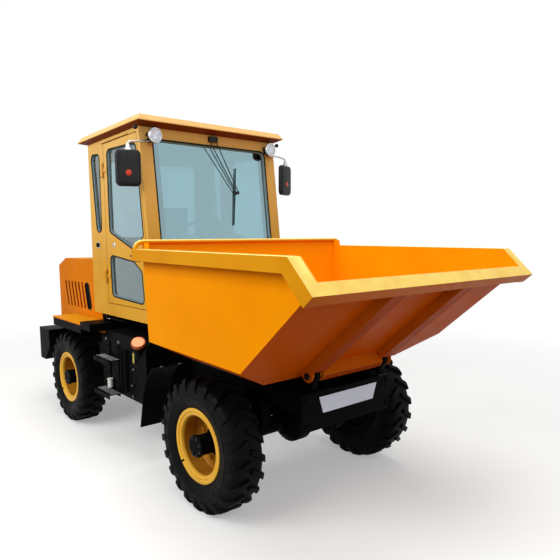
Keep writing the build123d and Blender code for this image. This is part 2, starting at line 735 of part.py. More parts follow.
def driveline():
    """The gearbox hung between the rails and the shafts to both axles."""
    x = (behind(GEARBOX_X[1]), behind(GEARBOX_X[0]))
    box = block(x, (-GEARBOX_HALF, GEARBOX_HALF), GEARBOX_Z)
    hanger = block(
        (x[0] + GEARBOX_HANGER[0], x[0] + GEARBOX_HANGER[1]),
        (-RAIL_INNER, RAIL_INNER),
        (RAIL_BOTTOM + GEARBOX_HANGER_RISE, GEARBOX_Z[1]),
    )
    front = bar((x[1], 0, AXLE_Z), (FRONT_X - DIFF_RADIUS - SEAT_GAP, 0, AXLE_Z), SHAFT_RADIUS)
    rear = bar((REAR_X + DIFF_RADIUS + SEAT_GAP, 0, AXLE_Z), (x[0], 0, AXLE_Z), SHAFT_RADIUS)
    return box + hanger + front + rear


def rear_bumper():
    """The cast counterweight across the tail, cut back under the rails, with the tow pin's jaw in it."""
    front = behind(BUMPER_FRONT)
    outline = [
        (BACK_X, BUMPER_BOTTOM),
        (front - BUMPER_LEAN, BUMPER_BOTTOM),
        (front, RAIL_BOTTOM),
        (front, BUMPER_TOP),
        (BACK_X, BUMPER_TOP),
    ]
    body = side_prism(outline, (-BUMPER_HALF, BUMPER_HALF))
    jaw = block((BACK_X, BACK_X + TOW_SLOT_DEPTH), (-TOW_SLOT_HALF, TOW_SLOT_HALF), TOW_SLOT_Z)
    x = BACK_X + TOW_PIN_INSET
    hole = bar((x, 0, TOW_SLOT_Z[0] - TOW_PIN_FOOT), (x, 0, BUMPER_TOP), TOW_PIN_RADIUS)
    return body - jaw - hole


def side_tank():
    """A left-hand side tank between the wheels, against the rail, its upper outer edge bevelled."""
    outline = [
        # y, z
        (RAIL_OUTER, TANK_BOTTOM),
        (TANK_OUTER, TANK_BOTTOM),
        (TANK_OUTER, TANK_TOP - TANK_CHAMFER),
        (TANK_OUTER - TANK_CHAMFER, TANK_TOP),
        (RAIL_OUTER, TANK_TOP),
    ]
    return end_prism(outline, (behind(TANK_BACK), behind(TANK_FRONT)))


def neck_line():
    """The filler neck's root inside the right-hand tank, and the way that it points."""
    root = Vector(behind(CAP_PLACE[0]), -CAP_PLACE[1], CAP_PLACE[2])
    return root, unit(Vector(CAP_WAY))


def tank_with_neck():
    """The right-hand tank with its filler neck."""
    root, way = neck_line()
    return mirrored(side_tank()) + bar(root, root + way * (CAP_REACH - CAP_HEIGHT), CAP_NECK_RADIUS)


def filler_cap():
    """The filler cap on the right-hand tank's neck."""
    root, way = neck_line()
    return bar(root + way * (CAP_REACH - CAP_HEIGHT), root + way * CAP_REACH, CAP_RADIUS)


def steps():
    """Left-hand entry steps: two lipped treads on straps down the tank's side."""
    x = (behind(STEP_X[1]), behind(STEP_X[0]))
    face = TANK_OUTER + STEP_STRAP
    edge = TANK_OUTER + STEP_OUT
    low = STEP_HEIGHTS[0] - STEP_LIP
    shape = Part()
    for x0, x1 in STEP_STRAPS:
        shape = shape + block((behind(x1), behind(x0)), (TANK_OUTER, face), (low, STEP_STRAP_TOP))
    for z in STEP_HEIGHTS:
        tread = block(x, (TANK_OUTER, edge), (z - STEP_PLATE, z))
        lip = block(x, (edge - STEP_PLATE, edge), (z - STEP_LIP, z))
        shape = shape + tread + lip
    return shape


def front_guard():
    """A left-hand mudguard behind the front wheel, bolted to the tank's front face."""
    outer = [(behind(d), z) for d, z in GUARD_LINE]
    inner = [(behind(d - GUARD_SHEET), z - 2.0) for d, z in reversed(GUARD_LINE)]
    sheet = side_prism(outer + inner, GUARD_Y)
    stay_x = behind(GUARD_LINE[3][0])
    stay_z = (GUARD_LINE[3][1] - GUARD_STAY, GUARD_LINE[3][1])
    stay = block((behind(TANK_FRONT), stay_x), (GUARD_Y[0], GUARD_Y[0] + 3.0 * GUARD_STAY), stay_z)
    return sheet + stay


def rear_fender():
    """A left-hand fender's top over the rear wheel, edged outside and hung on the deck's side."""
    x = (behind(FENDER_X[1]), behind(FENDER_X[0]))
    top = block(x, (DECK_HALF, FENDER_OUTER), (FENDER_TOP - FENDER_SHEET, FENDER_TOP))
    edge_y = (FENDER_OUTER - FENDER_SHEET, FENDER_OUTER)
    edge = block(x, edge_y, (FENDER_TOP - FENDER_EDGE, FENDER_TOP))
    flange = block(x, (DECK_HALF, DECK_HALF + FENDER_SHEET), (DECK_BOTTOM, FENDER_TOP))
    return top + edge + flange


def fender_skirt():
    """A left-hand fender's skirt under its top, with the locker at its front."""
    x = (behind(FENDER_X[1]), behind(FENDER_X[0]))
    z = (FENDER_TOP - FENDER_SKIRT, FENDER_TOP - FENDER_SHEET)
    inner = DECK_HALF + FENDER_SHEET
    outer = FENDER_OUTER - FENDER_SHEET
    shell = block(x, (inner, outer), z)
    hollow = block((x[0] + FENDER_SHEET, x[1] - FENDER_SHEET), (inner - 1.0, outer - FENDER_SHEET), z)
    locker = block(
        (behind(FENDER_BOX_X[1]), behind(FENDER_BOX_X[0])),
        (DECK_HALF + FENDER_BOX_INSET, FENDER_OUTER),
        (TANK_TOP - RUNNING_GAP + SEAT_GAP, FENDER_BOX_TOP),
    )
    return (shell - hollow) + locker


# ---------------------------------------------------------------- skip
def slope_z(x):
    """The height of the sloped front panel's outer face at a distance ahead of the front axle."""
    rise = (FOLD_FRONT[1] - SKIP_FLOOR) / (FOLD_FRONT[0] - SKIP_FLOOR_FRONT)
    return SKIP_FLOOR + (x - SKIP_FLOOR_FRONT) * rise


def flat(points):
    """The (x, z) pairs of points in the vehicle's middle plane."""
    return [(p.X, p.Z) for p in points]


def skip_planes():
    """The outer planes of the skip's panels: a point and an outward normal each."""
    slope = Vector(FOLD_FRONT[0] - SKIP_FLOOR_FRONT, 0, FOLD_FRONT[1] - SKIP_FLOOR)
    fold = Vector(FOLD_FRONT[0] - FOLD_REAR[0], 0, FOLD_FRONT[1] - FOLD_REAR[1])
    drop = Vector(SKIP_FLOOR_FRONT - FOLD_FRONT[0], FLOOR_HALF_FRONT - SKIP_HALF, SKIP_FLOOR - FOLD_FRONT[1])
    chamfer = fold.cross(drop)
    if chamfer.Z > 0:
        chamfer = chamfer * -1
    planes = [
        (Vector(ahead(-SKIP_REAR), 0, SKIP_FLOOR), Vector(-1, 0, -SKIP_REAR_RAKE)),
        (Vector(ahead(0), 0, SKIP_FLOOR), Vector(0, 0, -1)),
        (Vector(ahead(SKIP_FLOOR_FRONT), 0, SKIP_FLOOR), Vector(slope.Z, 0, -slope.X)),
    ]
    for side in (1, -1):
        planes.append((Vector(ahead(0), side * SKIP_HALF, SKIP_FLOOR), Vector(0, side, 0)))
        planes.append(
            (
                Vector(ahead(FOLD_FRONT[0]), side * SKIP_HALF, FOLD_FRONT[1]),
                Vector(chamfer.X, side * chamfer.Y, chamfer.Z),
            )
        )
    return [(point, unit(normal)) for point, normal in planes]


MOUTH = Vector(LIP_REACH - BEND[0], 0, LIP_HEIGHT - BEND[1]).normalized()
MOUTH_OUT = Vector(-MOUTH.Z, 0, MOUTH.X)
RIM_REAR = SKIP_REAR + SKIP_REAR_RAKE * (RIM_REAR_TOP - SKIP_FLOOR)
SIDE_TOP = Vector(BEND[0] + RIM_REAR, 0, BEND[1] - RIM_REAR_TOP).normalized()
SIDE_UP = Vector(-SIDE_TOP.Z, 0, SIDE_TOP.X)


def trough(inset):
    """The skip's filled shape with every panel's plane moved inwards; its top stays open."""
    reach = 2000.0
    shape = block(
        (ahead(-reach), ahead(reach)),
        (-SKIP_HALF - 1.0, SKIP_HALF + 1.0),
        (SKIP_FLOOR - 1.0, REAR_WALL_TOP + reach),
    )
    for point, normal in skip_planes():
        place = point - normal * inset
        shape = plane_below(shape, place, normal)
    return shape


def skip_body():
    """The skip's welded panels: floor, rear wall, sides, chamfers and the sloped front."""
    outer = trough(0.0)
    rear_strip = block(
        (ahead(-2.0 * SKIP_REAR), ahead(REAR_WALL - SKIP_REAR)),
        (-SKIP_HALF, SKIP_HALF),
        (SKIP_FLOOR, REAR_WALL_TOP),
    )
    bend = Vector(ahead(BEND[0]), 0, BEND[1])
    low = plane_below(outer, bend, SIDE_UP)
    low = plane_below(low, bend, MOUTH_OUT)
    front = Vector(ahead(LIP_REACH), 0, LIP_HEIGHT) - MOUTH * SKIP_RIM_DEPTH
    under = front - MOUTH_OUT * LIP_TUBE_DEPTH
    beyond = MOUTH * (4.0 * SKIP_RIM_DEPTH)
    across = (-SKIP_HALF - 1.0, SKIP_HALF + 1.0)
    notch = side_prism(flat([front, under, under + beyond, front + beyond]), across)
    high = outer & rear_strip
    return low + high - trough(SHEET) - notch - rear_bar()


def skip_rim():
    """The box tube round the skip: along both sides, down the mouth and across the lip."""
    bend = Vector(ahead(BEND[0]), 0, BEND[1])
    back = bend - SIDE_TOP * ((BEND[0] + RIM_REAR) / SIDE_TOP.X)
    lip = Vector(ahead(LIP_REACH), 0, LIP_HEIGHT)
    depth = SKIP_RIM_DEPTH
    half_turn = unit(MOUTH_OUT + SIDE_UP)
    inner_bend = bend - half_turn * (depth / half_turn.dot(SIDE_UP))
    side = side_prism(
        [
            (back.X, back.Z),
            (bend.X, bend.Z),
            (lip.X, lip.Z),
            ((lip - MOUTH_OUT * depth).X, (lip - MOUTH_OUT * depth).Z),
            (inner_bend.X, inner_bend.Z),
            ((back - SIDE_UP * depth).X, (back - SIDE_UP * depth).Z),
        ],
        (SKIP_HALF, SKIP_HALF + SKIP_RIM_WIDTH),
    )
    top = lip - MOUTH * SKIP_RIM_DEPTH
    tube = side_prism(
        [
            (lip.X, lip.Z),
            (top.X, top.Z),
            ((top - MOUTH_OUT * LIP_TUBE_DEPTH).X, (top - MOUTH_OUT * LIP_TUBE_DEPTH).Z),
            ((lip - MOUTH_OUT * LIP_TUBE_DEPTH).X, (lip - MOUTH_OUT * LIP_TUBE_DEPTH).Z),
        ],
        (-SKIP_HALF, SKIP_HALF),
    )
    return both(side) + tube + rear_bar()


def rear_bar():
    """The round bar along the rear wall's top, bent down onto the side tubes."""
    x = ahead(REAR_BAR_RADIUS - SKIP_REAR - SKIP_REAR_RAKE * (REAR_WALL_TOP - SKIP_FLOOR))
    top = REAR_BAR_TOP - REAR_BAR_RADIUS
    outer = SKIP_HALF + SKIP_RIM_WIDTH - REAR_BAR_RADIUS
    turn = outer - REAR_BAR_BEND
    halfway = REAR_BAR_BEND * (1.0 - math.sqrt(0.5))
    foot = (x, outer, RIM_REAR_TOP - REAR_BAR_RADIUS)
    bend = Edge.make_three_point_arc(
        (x, outer, top - REAR_BAR_BEND),
        (x, outer - halfway, top - halfway),
        (x, turn, top),
    )
    lower = Edge.make_line(foot, (x, outer, top - REAR_BAR_BEND))
    upper = Edge.make_line((x, turn, top), (x, 0, top))
    section = Plane(Vector(foot), z_dir=Vector(0, 0, 1)) * Circle(REAR_BAR_RADIUS)
    return both(sweep(sections=section, path=Wire([lower, bend, upper])))


def skip_ribs():
    """Two channels under the sloped panel with the hinge eyes and pins at their lower ends."""
    slope = unit(Vector(FOLD_FRONT[0] - SKIP_FLOOR_FRONT, 0, FOLD_FRONT[1] - SKIP_FLOOR))
    out = Vector(slope.Z, 0, -slope.X)
    centre = Vector(HINGE[0], 0, HINGE[1])
    foot = Vector(ahead(SKIP_FLOOR_FRONT), 0, SKIP_FLOOR)
    start = foot + slope * (centre - foot).dot(slope)
    lip = Vector(ahead(LIP_REACH), 0, LIP_HEIGHT) - MOUTH_OUT * LIP_TUBE_DEPTH
    end = start + slope * ((lip - start).dot(slope) + RIB_DEPTH)
    y = (RIB_INNER, RIB_OUTER)
    channel = side_prism(flat([start, end, end + out * RIB_DEPTH, start + out * RIB_DEPTH]), y)
    channel = plane_below(channel, lip, MOUTH_OUT)
    web = start + slope * (HINGE_EAR_RADIUS + 2.0 * RUNNING_GAP)
    tail = start - slope * (3.0 * HINGE_EAR_RADIUS)
    hollow = [
        tail,
        end,
        end + out * (RIB_DEPTH - RIB_WALL),
        web + out * (RIB_DEPTH - RIB_WALL),
        web + out * (3.0 * RIB_DEPTH),
        tail + out * (3.0 * RIB_DEPTH),
    ]
    eye = bar((centre.X, RIB_INNER, centre.Z), (centre.X, RIB_OUTER, centre.Z), HINGE_EAR_RADIUS)
    neck = start - slope * HINGE_EAR_RADIUS
    cheek = [
        neck,
        start + slope * HINGE_EAR_RADIUS,
        centre + slope * HINGE_EAR_RADIUS,
        centre - slope * HINGE_EAR_RADIUS,
    ]
    rib = channel + side_prism(flat(cheek), y) + eye
    rib = rib - side_prism(flat(hollow), (RIB_INNER + RIB_WALL, RIB_OUTER - RIB_WALL))
    pin = bar((centre.X, RIB_INNER, centre.Z), (centre.X, RIB_OUTER, centre.Z), HINGE_PIN_RADIUS)
    return both(rib + pin) + hinge_beam(centre, start, slope, out)


def hinge_beam(centre, start, slope, out):
    """The square beam between the two ribs' hinge eyes, against the sloped panel."""
    along = slope * HINGE_BEAM_HALF
    front = centre + out * HINGE_BEAM_HALF
    outline = [start - along, start + along, front + along, front - along]
    return side_prism(flat(outline), (-RIB_INNER, RIB_INNER))


def skip_ram_bracket():
    """Two ears under the skip's floor for the ram's eye."""
    eye = (ahead(RAM_EYE[0]), RAM_EYE[1])
    gap = RAM_EYE_WIDTH / 2.0 + RUNNING_GAP
    ear = side_prism(
        [
            (eye[0] - RAM_EAR_ROOT, SKIP_FLOOR),
            (eye[0] - RAM_EYE_RADIUS, eye[1] - RAM_EYE_RADIUS),
            (eye[0] + RAM_EYE_RADIUS, eye[1] - RAM_EYE_RADIUS),
            (eye[0] + RAM_EAR_ROOT, SKIP_FLOOR),
        ],
        (gap, gap + RAM_LUG),
    )
    return both(ear)


# ---------------------------------------------------------------- tipping ram
RAM_LINE = Vector(RAM_EYE[0] - RAM_FOOT[0], 0, RAM_EYE[1] - RAM_FOOT[1])
RAM_DIRECTION = RAM_LINE.normalized()


def on_ram(distance):
    """A point on the ram's line that far from its foot."""
    return Vector(ahead(RAM_FOOT[0]), 0, RAM_FOOT[1]) + RAM_DIRECTION * distance


def ram_barrel():
    """The tipping ram's barrel, with its eye on the chassis pin."""
    foot = on_ram(0.0)
    half = RAM_EYE_WIDTH / 2.0
    eye = bar((foot.X, -half, foot.Z), (foot.X, half, foot.Z), RAM_FOOT_EYE_RADIUS)
    tube = bar(on_ram(RAM_BARREL_START), on_ram(RAM_BARREL_END), RAM_BARREL_RADIUS)
    bore = bar(on_ram(RAM_ROD_START - 10.0), on_ram(RAM_BARREL_END + 1.0), RAM_ROD_RADIUS + PIN_CLEARANCE)
    reach = RAM_BARREL_RADIUS + 1.0
    pin = bar((foot.X, -reach, foot.Z), (foot.X, reach, foot.Z), HINGE_PIN_RADIUS + PIN_CLEARANCE)
    return eye + (tube - bore) - pin


def ram_rod():
    """The tipping ram's rod, with its eye between the skip's ears."""
    length = RAM_LINE.length
    rod = bar(on_ram(RAM_ROD_START), on_ram(length), RAM_ROD_RADIUS)
    tip = on_ram(length)
    half = RAM_EYE_WIDTH / 2.0
    return rod + bar((tip.X, -half, tip.Z), (tip.X, half, tip.Z), RAM_EYE_RADIUS)


# ---------------------------------------------------------------- cab
def cab_front(z):
    """The X of the cab's raked front face at a height."""
    return behind(CAB_FRONT + CAB_RAKE * (z - CAB_FLOOR))


def door_outline(grow):
    """The door leaf's (x, z) outline, moved outwards by a gap."""
    low = DOOR_BOTTOM - grow
    high = DOOR_TOP + grow
    return [
        (behind(DOOR_BACK) - grow, low),
        (cab_front(low) - DOOR_FRONT_INSET + grow, low),
        (cab_front(high) - DOOR_FRONT_INSET + grow, high),
        (behind(DOOR_BACK) - grow, high),
    ]


def hinge_axis():
    """The left door hinge's x and y."""
    return behind(DOOR_HINGE_X), CAB_HALF + DOOR_HINGE_OUT


def window(outline, y):
    """A side window's opening or pane between two depths."""
    return rounded_prism([(ahead(x), z) for x, z in outline], y, WINDOW_ROUND)


def screen_pane(x):
    """An upright pane of the windscreen's width and height between two X."""
    return rounded_pane((-SCREEN_HALF, SCREEN_HALF), (SCREEN_BOTTOM, SCREEN_TOP), SCREEN_ROUND, x)


def rear_pane(x):
    """The rear window's opening or pane between two X."""
    return rounded_pane((-REAR_WINDOW_HALF, REAR_WINDOW_HALF), REAR_WINDOW_Z, SCREEN_ROUND, x)


def cab_shell():
    """The cab's welded shell: floor, walls and pillars with their window and door openings."""
    def body(inset, top):
        floor = CAB_FLOOR + inset
        return side_prism(
            [
                (behind(CAB_BACK) + inset, floor),
                (cab_front(floor) - inset, floor),
                (cab_front(top) - inset, top),
                (behind(CAB_BACK) + inset, top),
            ],
            (inset - CAB_HALF, CAB_HALF - inset),
        )
    shell = body(0.0, CAB_TOP) - body(CAB_WALL, CAB_TOP + 10.0)
    across = (-CAB_HALF - 1.0, CAB_HALF + 1.0)
    shell = shell - window(QUARTER_WINDOW, across)
    shell = shell - side_prism(door_outline(DOOR_GAP), across)
    screen = screen_pane((cab_front(SCREEN_TOP) - 2.0 * CAB_WALL, cab_front(CAB_FLOOR)))
    rear = rear_pane((behind(CAB_BACK) - 1.0, behind(CAB_BACK) + CAB_WALL + 1.0))
    shell = shell - screen - rear
    return shell + both(hinge_halves(False)) + hood_hinges(False)


def hinge_halves(on_door):
    """A left door's two hinges: the door's middle knuckles, or the cab's end knuckles and pins."""
    x, y = hinge_axis()
    third = DOOR_HINGE_LENGTH / 3.0
    face = (CAB_HALF, CAB_HALF + DOOR_HINGE_PLATE)
    shape = Part()
    for height in DOOR_HINGE_HEIGHTS:
        low = height - DOOR_HINGE_LENGTH / 2.0
        high = low + DOOR_HINGE_LENGTH
        if on_door:
            z = (low + third + KNUCKLE_PLAY, high - third - KNUCKLE_PLAY)
            leaf = block((x, x + DOOR_HINGE_LEAF), face, z)
            leaf = leaf + bar((x, y, z[0]), (x, y, z[1]), DOOR_HINGE_RADIUS)
            shape = shape + (leaf - bar((x, y, low), (x, y, high), DOOR_HINGE_PIN + PIN_CLEARANCE))
            continue
        shape = shape + bar((x, y, low), (x, y, high), DOOR_HINGE_PIN)
        for z in ((low, low + third), (high - third, high)):
            leaf = block((x - DOOR_HINGE_LEAF, x), face, z)
            shape = shape + leaf + bar((x, y, z[0]), (x, y, z[1]), DOOR_HINGE_RADIUS)
    return shape


def door():
    """A left-hand door leaf with its two window openings and its hinge knuckles."""
    y = (CAB_HALF - DOOR_THICKNESS, CAB_HALF)
    leaf = side_prism(door_outline(0.0), y)
    for outline in (DOOR_WINDOW_HIGH, DOOR_WINDOW_LOW):
        leaf = leaf - window(outline, (y[0] - 1.0, y[1] + 1.0))
    return leaf + hinge_halves(True)


def door_glass():
    """A left-hand door's two panes."""
    y = CAB_HALF - DOOR_THICKNESS / 2.0
    pane = (y - GLASS / 2.0, y + GLASS / 2.0)
    shape = Part()
    for outline in (DOOR_WINDOW_HIGH, DOOR_WINDOW_LOW):
        shape = shape + window(outline, pane)
    return shape


def screen_glass():
    """The raked windscreen."""
    mid = CAB_WALL / 2.0
    outline = [
        (cab_front(SCREEN_BOTTOM) - mid, SCREEN_BOTTOM),
        (cab_front(SCREEN_TOP) - mid, SCREEN_TOP),
        (cab_front(SCREEN_TOP) - mid - GLASS, SCREEN_TOP),
        (cab_front(SCREEN_BOTTOM) - mid - GLASS, SCREEN_BOTTOM),
    ]
    pane = side_prism(outline, (-SCREEN_HALF, SCREEN_HALF))
    return pane & screen_pane((cab_front(SCREEN_TOP) - 2.0 * CAB_WALL, cab_front(CAB_FLOOR)))


def rear_glass():
    """The cab's rear window."""
    x = behind(CAB_BACK) + CAB_WALL / 2.0
    return rear_pane((x, x + GLASS))


def quarter_glass():
    """Both fixed panes behind the doors."""
    y = CAB_HALF - CAB_WALL / 2.0
    return both(window(QUARTER_WINDOW, (y, y + GLASS)))


def roof_outline(low, high, seat):
    """The roof's section between the two ends of its edge and those of its seat on the cab."""
    foot = CAB_TOP + ROOF_RISE
    edge = foot + ROOF_EDGE
    top = edge + ROOF_CROWN
    return [
        (seat[0], CAB_TOP),
        (seat[1], CAB_TOP),
        (high, foot),
        (high, edge),
        (high - ROOF_SLOPE, top),
        (low + ROOF_SLOPE, top),
        (low, edge),
        (low, foot),
    ]


def cab_roof():
    """The overhanging roof: a thin edge, sloped sheets above it and a soffit under it."""
    x = (behind(ROOF_BACK), behind(ROOF_FRONT))
    long_seat = (behind(CAB_BACK) - ROOF_SEAT, cab_front(CAB_TOP) + ROOF_SEAT)
    side_seat = (-CAB_HALF - ROOF_SEAT, CAB_HALF + ROOF_SEAT)
    side = side_prism(roof_outline(x[0], x[1], long_seat), (-ROOF_HALF, ROOF_HALF))
    return side & end_prism(roof_outline(-ROOF_HALF, ROOF_HALF, side_seat), x)


def column_ends():
    """The steering column's foot in the console and its top under the hand wheel."""
    foot = Vector(behind(COLUMN_X[0]), 0, CONSOLE_TOP - COLUMN_FOOT_DROP)
    top = Vector(behind(COLUMN_X[1]), 0, SEAT_HEIGHT + COLUMN_RISE)
    return foot, top


def cab_console():
    """The console under the windscreen with the steering column rising from it."""
    x = (behind(CONSOLE_X[1]), behind(CONSOLE_X[0]))
    box = block(x, (-CONSOLE_HALF, CONSOLE_HALF), (CAB_FLOOR + CAB_WALL, CONSOLE_TOP))
    foot, top = column_ends()
    return box + bar(foot, top, COLUMN_RADIUS)


def steering_wheel():
    """The hand wheel on the column's top."""
    foot, top = column_ends()
    along = unit(top - foot)
    place = Plane(top + along * (COLUMN_HUB / 2.0), z_dir=along)
    shape = Part() + place * Torus(WHEEL_RING_RADIUS, WHEEL_RING_WIRE)
    shape = shape + bar(top, top + along * COLUMN_HUB, COLUMN_HUB_RADIUS)
    for angle in (90.0, 210.0, 330.0):
        turn = math.radians(angle)
        way = place.x_dir * math.cos(turn) + place.y_dir * math.sin(turn)
        shape = shape + bar(place.origin, place.origin + way * WHEEL_RING_RADIUS, SPOKE_RADIUS)
    return shape


def seat_base():
    """The seat's pedestal."""
    half = SEAT_HALF - PEDESTAL_SIDE
    x = (behind(SEAT_X[1]) + PEDESTAL_INSET[0], behind(SEAT_X[0]) - PEDESTAL_INSET[1])
    return block(x, (-half, half), (CAB_FLOOR + CAB_WALL, SEAT_HEIGHT - SEAT_THICKNESS))


def seat_cushions():
    """The seat's squab and backrest."""
    x = (behind(SEAT_X[1]), behind(SEAT_X[0]))
    squab = block(x, (-SEAT_HALF, SEAT_HALF), (SEAT_HEIGHT - SEAT_THICKNESS, SEAT_HEIGHT))
    half = SEAT_HALF - BACKREST_INSET
    top = SEAT_HEIGHT + BACKREST_HEIGHT
    lean = [
        (x[0], SEAT_HEIGHT),
        (x[0] + BACKREST_FOOT, SEAT_HEIGHT),
        (x[0] + BACKREST_HEAD - BACKREST_LEAN, top),
        (x[0] - BACKREST_LEAN, top),
    ]
    return squab + side_prism(lean, (-half, half))


def work_lamps():
    """The two round lamps under the roof's front edge."""
    y = LAMP_Y
    z = CAB_TOP - LAMP_DROP
    x = cab_front(z) + LAMP_OUT
    can = bar((x, y, z), (x + LAMP_DEPTH, y, z), LAMP_RADIUS)
    stalk = bar((cab_front(z) - LAMP_OUT, y, z), (x + 1.0, y, z), LAMP_STALK_RADIUS)
    return both(can + plane_below(stalk, (cab_front(z), y, z), (-1.0, 0, -CAB_RAKE)))


def mirror_sets():
    """Both mirrors, each on a bent tube from the roof's corner post."""
    x = behind(MIRROR_X)
    z = CAB_TOP - MIRROR_DROP
    deep, wide, tall = MIRROR_SIZE
    head = rounded_pane(
        (-wide / 2.0, wide / 2.0),
        (-tall / 2.0, tall / 2.0),
        MIRROR_ROUND,
        (-deep / 2.0, deep / 2.0),
    )
    head = Pos(x, MIRROR_Y, z) * Rot(0, 0, MIRROR_TURN) * head
    top = z + tall / 2.0
    arm_z = top + MIRROR_ARM_RISE
    root = (cab_front(arm_z) - CAB_WALL, CAB_HALF - CAB_WALL / 2.0, arm_z)
    arm = plane_below(bar(root, (x, MIRROR_Y, arm_z), ARM_RADIUS), (0, CAB_HALF, 0), (0, -1.0, 0))
    post = bar(
        (x, MIRROR_Y, top - ARM_RADIUS / 2.0),
        (x, MIRROR_Y, arm_z + 1.5 * ARM_RADIUS),
        MIRROR_POST_RADIUS,
    )
    return both(head + arm + post)


# ---------------------------------------------------------------- hood
def hood_hinges(on_hood):
    """The hood's middle knuckles and straps, or the cab's end knuckles, brackets and pins."""
    x = behind(HOOD_FRONT + HOOD_HINGE_BACK)
    z = HOOD_TOP + HOOD_HINGE_RISE
    third = HOOD_HINGE_LENGTH / 3.0
    shape = Part()
    for middle in HOOD_HINGE_PLACES:
        low = middle - HOOD_HINGE_LENGTH / 2.0
        high = low + HOOD_HINGE_LENGTH
        if on_hood:
            y = (low + third + KNUCKLE_PLAY, high - third - KNUCKLE_PLAY)
            strap = block((x - HOOD_HINGE_STRAP, x), y, (HOOD_TOP, z - HOOD_HINGE_RADIUS / 2.0))
            part = strap + bar((x, y[0], z), (x, y[1], z), HOOD_HINGE_RADIUS)
            shape = shape + (part - bar((x, low, z), (x, high, z), HOOD_HINGE_PIN + PIN_CLEARANCE))
            continue
        shape = shape + bar((x, low, z), (x, high, z), HOOD_HINGE_PIN)
        for y in ((low, low + third), (high - third, high)):
            bracket = block((x, behind(CAB_BACK)), y, (z - HOOD_HINGE_PIN, z + HOOD_HINGE_PIN))
            shape = shape + bracket + bar((x, y[0], z), (x, y[1], z), HOOD_HINGE_RADIUS)
    return shape


def louvre(rear, width):
    """A leaning opening's (x, z) outline from its upper rear corner's distance behind the front axle."""
    foot = rear - LOUVRE_LEAN
    low, high = VENT_Z
    return [
        (behind(rear), high),
        (behind(rear - width), high),
        (behind(foot - width), low),
        (behind(foot), low),
    ]


def hood_vents():
    """The dark panels behind the vent in each of the hood's sides."""
    upper, front, lower, foot = louvre(VENT_X, VENT_WIDTH)
    lap = VENT_LAP
    outline = [
        (upper[0] - lap, upper[1] + lap),
        (front[0] + lap, front[1] + lap),
        (lower[0] + lap, lower[1] - lap),
        (foot[0] - lap, foot[1] - lap),
    ]
    y = HOOD_HALF - HOOD_SHEET
    return both(rounded_prism(outline, (y - VENT_SHEET, y), VENT_ROUND))


def hood():
    """The engine hood: top, back and sides, open below and towards the cab."""
    outer = [
        (behind(HOOD_BACK), HOOD_BOTTOM),
        (behind(HOOD_FRONT), HOOD_BOTTOM),
        (behind(HOOD_FRONT), HOOD_TOP),
        (behind(HOOD_BEVEL_X), HOOD_TOP),
        (behind(HOOD_BACK), HOOD_BEVEL_Z),
    ]
    t = HOOD_SHEET
    slope = math.atan2(HOOD_TOP - HOOD_BEVEL_Z, HOOD_BACK - HOOD_BEVEL_X)
    shift = t * math.tan((math.pi / 2.0 - slope) / 2.0)
    inner = [
        (behind(HOOD_BACK) + t, HOOD_BOTTOM - 1.0),
        (behind(HOOD_FRONT) + 1.0, HOOD_BOTTOM - 1.0),
        (behind(HOOD_FRONT) + 1.0, HOOD_TOP - t),
        (behind(HOOD_BEVEL_X) + t * math.tan(slope / 2.0), HOOD_TOP - t),
        (behind(HOOD_BACK) + t, HOOD_BEVEL_Z - shift),
    ]
    shell = side_prism(outer, (-HOOD_HALF, HOOD_HALF)) - side_prism(inner, (t - HOOD_HALF, HOOD_HALF - t))
    across = (-HOOD_HALF - 1.0, HOOD_HALF + 1.0)
    for number in range(LOUVRES):
        shell = shell - side_prism(louvre(LOUVRE_X - number * LOUVRE_PITCH, LOUVRE_WIDTH), across)
    shell = shell - rounded_prism(louvre(VENT_X, VENT_WIDTH), across, VENT_ROUND)
    return shell + hood_hinges(True)


def main():
    """Builds and writes every node."""
    os.makedirs("parts", exist_ok=True)
    save("chassis", chassis())
    save("front_panel", front_panel())
    save("name_plate", name_plate())
    save("front_axle", front_axle())
    save("rear_axle", rear_axle())
    save("engine", engine())
    save("driveline", driveline())
    save("rear_bumper", rear_bumper())
    save("steer_rod", steer_rod())
    save("filler_cap", filler_cap())
    save("skip_body", skip_body())
    save("skip_rim", skip_rim())
    save("skip_ribs", skip_ribs())
    save("skip_ram_bracket", skip_ram_bracket())
    save("ram_barrel", ram_barrel())
    save("ram_rod", ram_rod())
    save("cab_shell", cab_shell())
    save("cab_roof", cab_roof())
    save("screen_glass", screen_glass())
    save("rear_glass", rear_glass())
    save("quarter_glass", quarter_glass())
    save("cab_console", cab_console())
    save("steering_wheel", steering_wheel())
    save("seat_base", seat_base())
    save("seat_cushions", seat_cushions())
    save("work_lamps", work_lamps())
    save("mirrors", mirror_sets())
    save("hood", hood())
    save("hood_vents", hood_vents())
    save("fender_skirts", both(fender_skirt()))
    save("side_tank_l", side_tank())
    save("side_tank_r", tank_with_neck())
    rubber = tyre()
    pairs = {
        # node, left-hand shape
        "knuckle": knuckle(),
        "steps": steps(),
        "front_guard": front_guard(),
        "rear_fender": rear_fender(),
        "door": door(),
        "door_glass": door_glass(),
        "front_tyre": Pos(FRONT_X, WHEEL_Y, AXLE_Z) * rubber,
        "rear_tyre": Pos(REAR_X, WHEEL_Y, AXLE_Z) * rubber,
        "front_wheel": wheel((FRONT_X, WHEEL_Y, AXLE_Z)),
        "rear_wheel": wheel((REAR_X, WHEEL_Y, AXLE_Z)),
    }
    for name, shape in pairs.items():
        save(name + "_l", shape)
        save(name + "_r", mirrored(shape))


main()
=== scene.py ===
"""Looks of the site dumper: its finishes and modelled pieces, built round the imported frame."""

import json
import logging
import math
from collections.abc import Callable
from dataclasses import dataclass
from enum import Enum

import bmesh
import bpy
from mathutils import Matrix, Vector

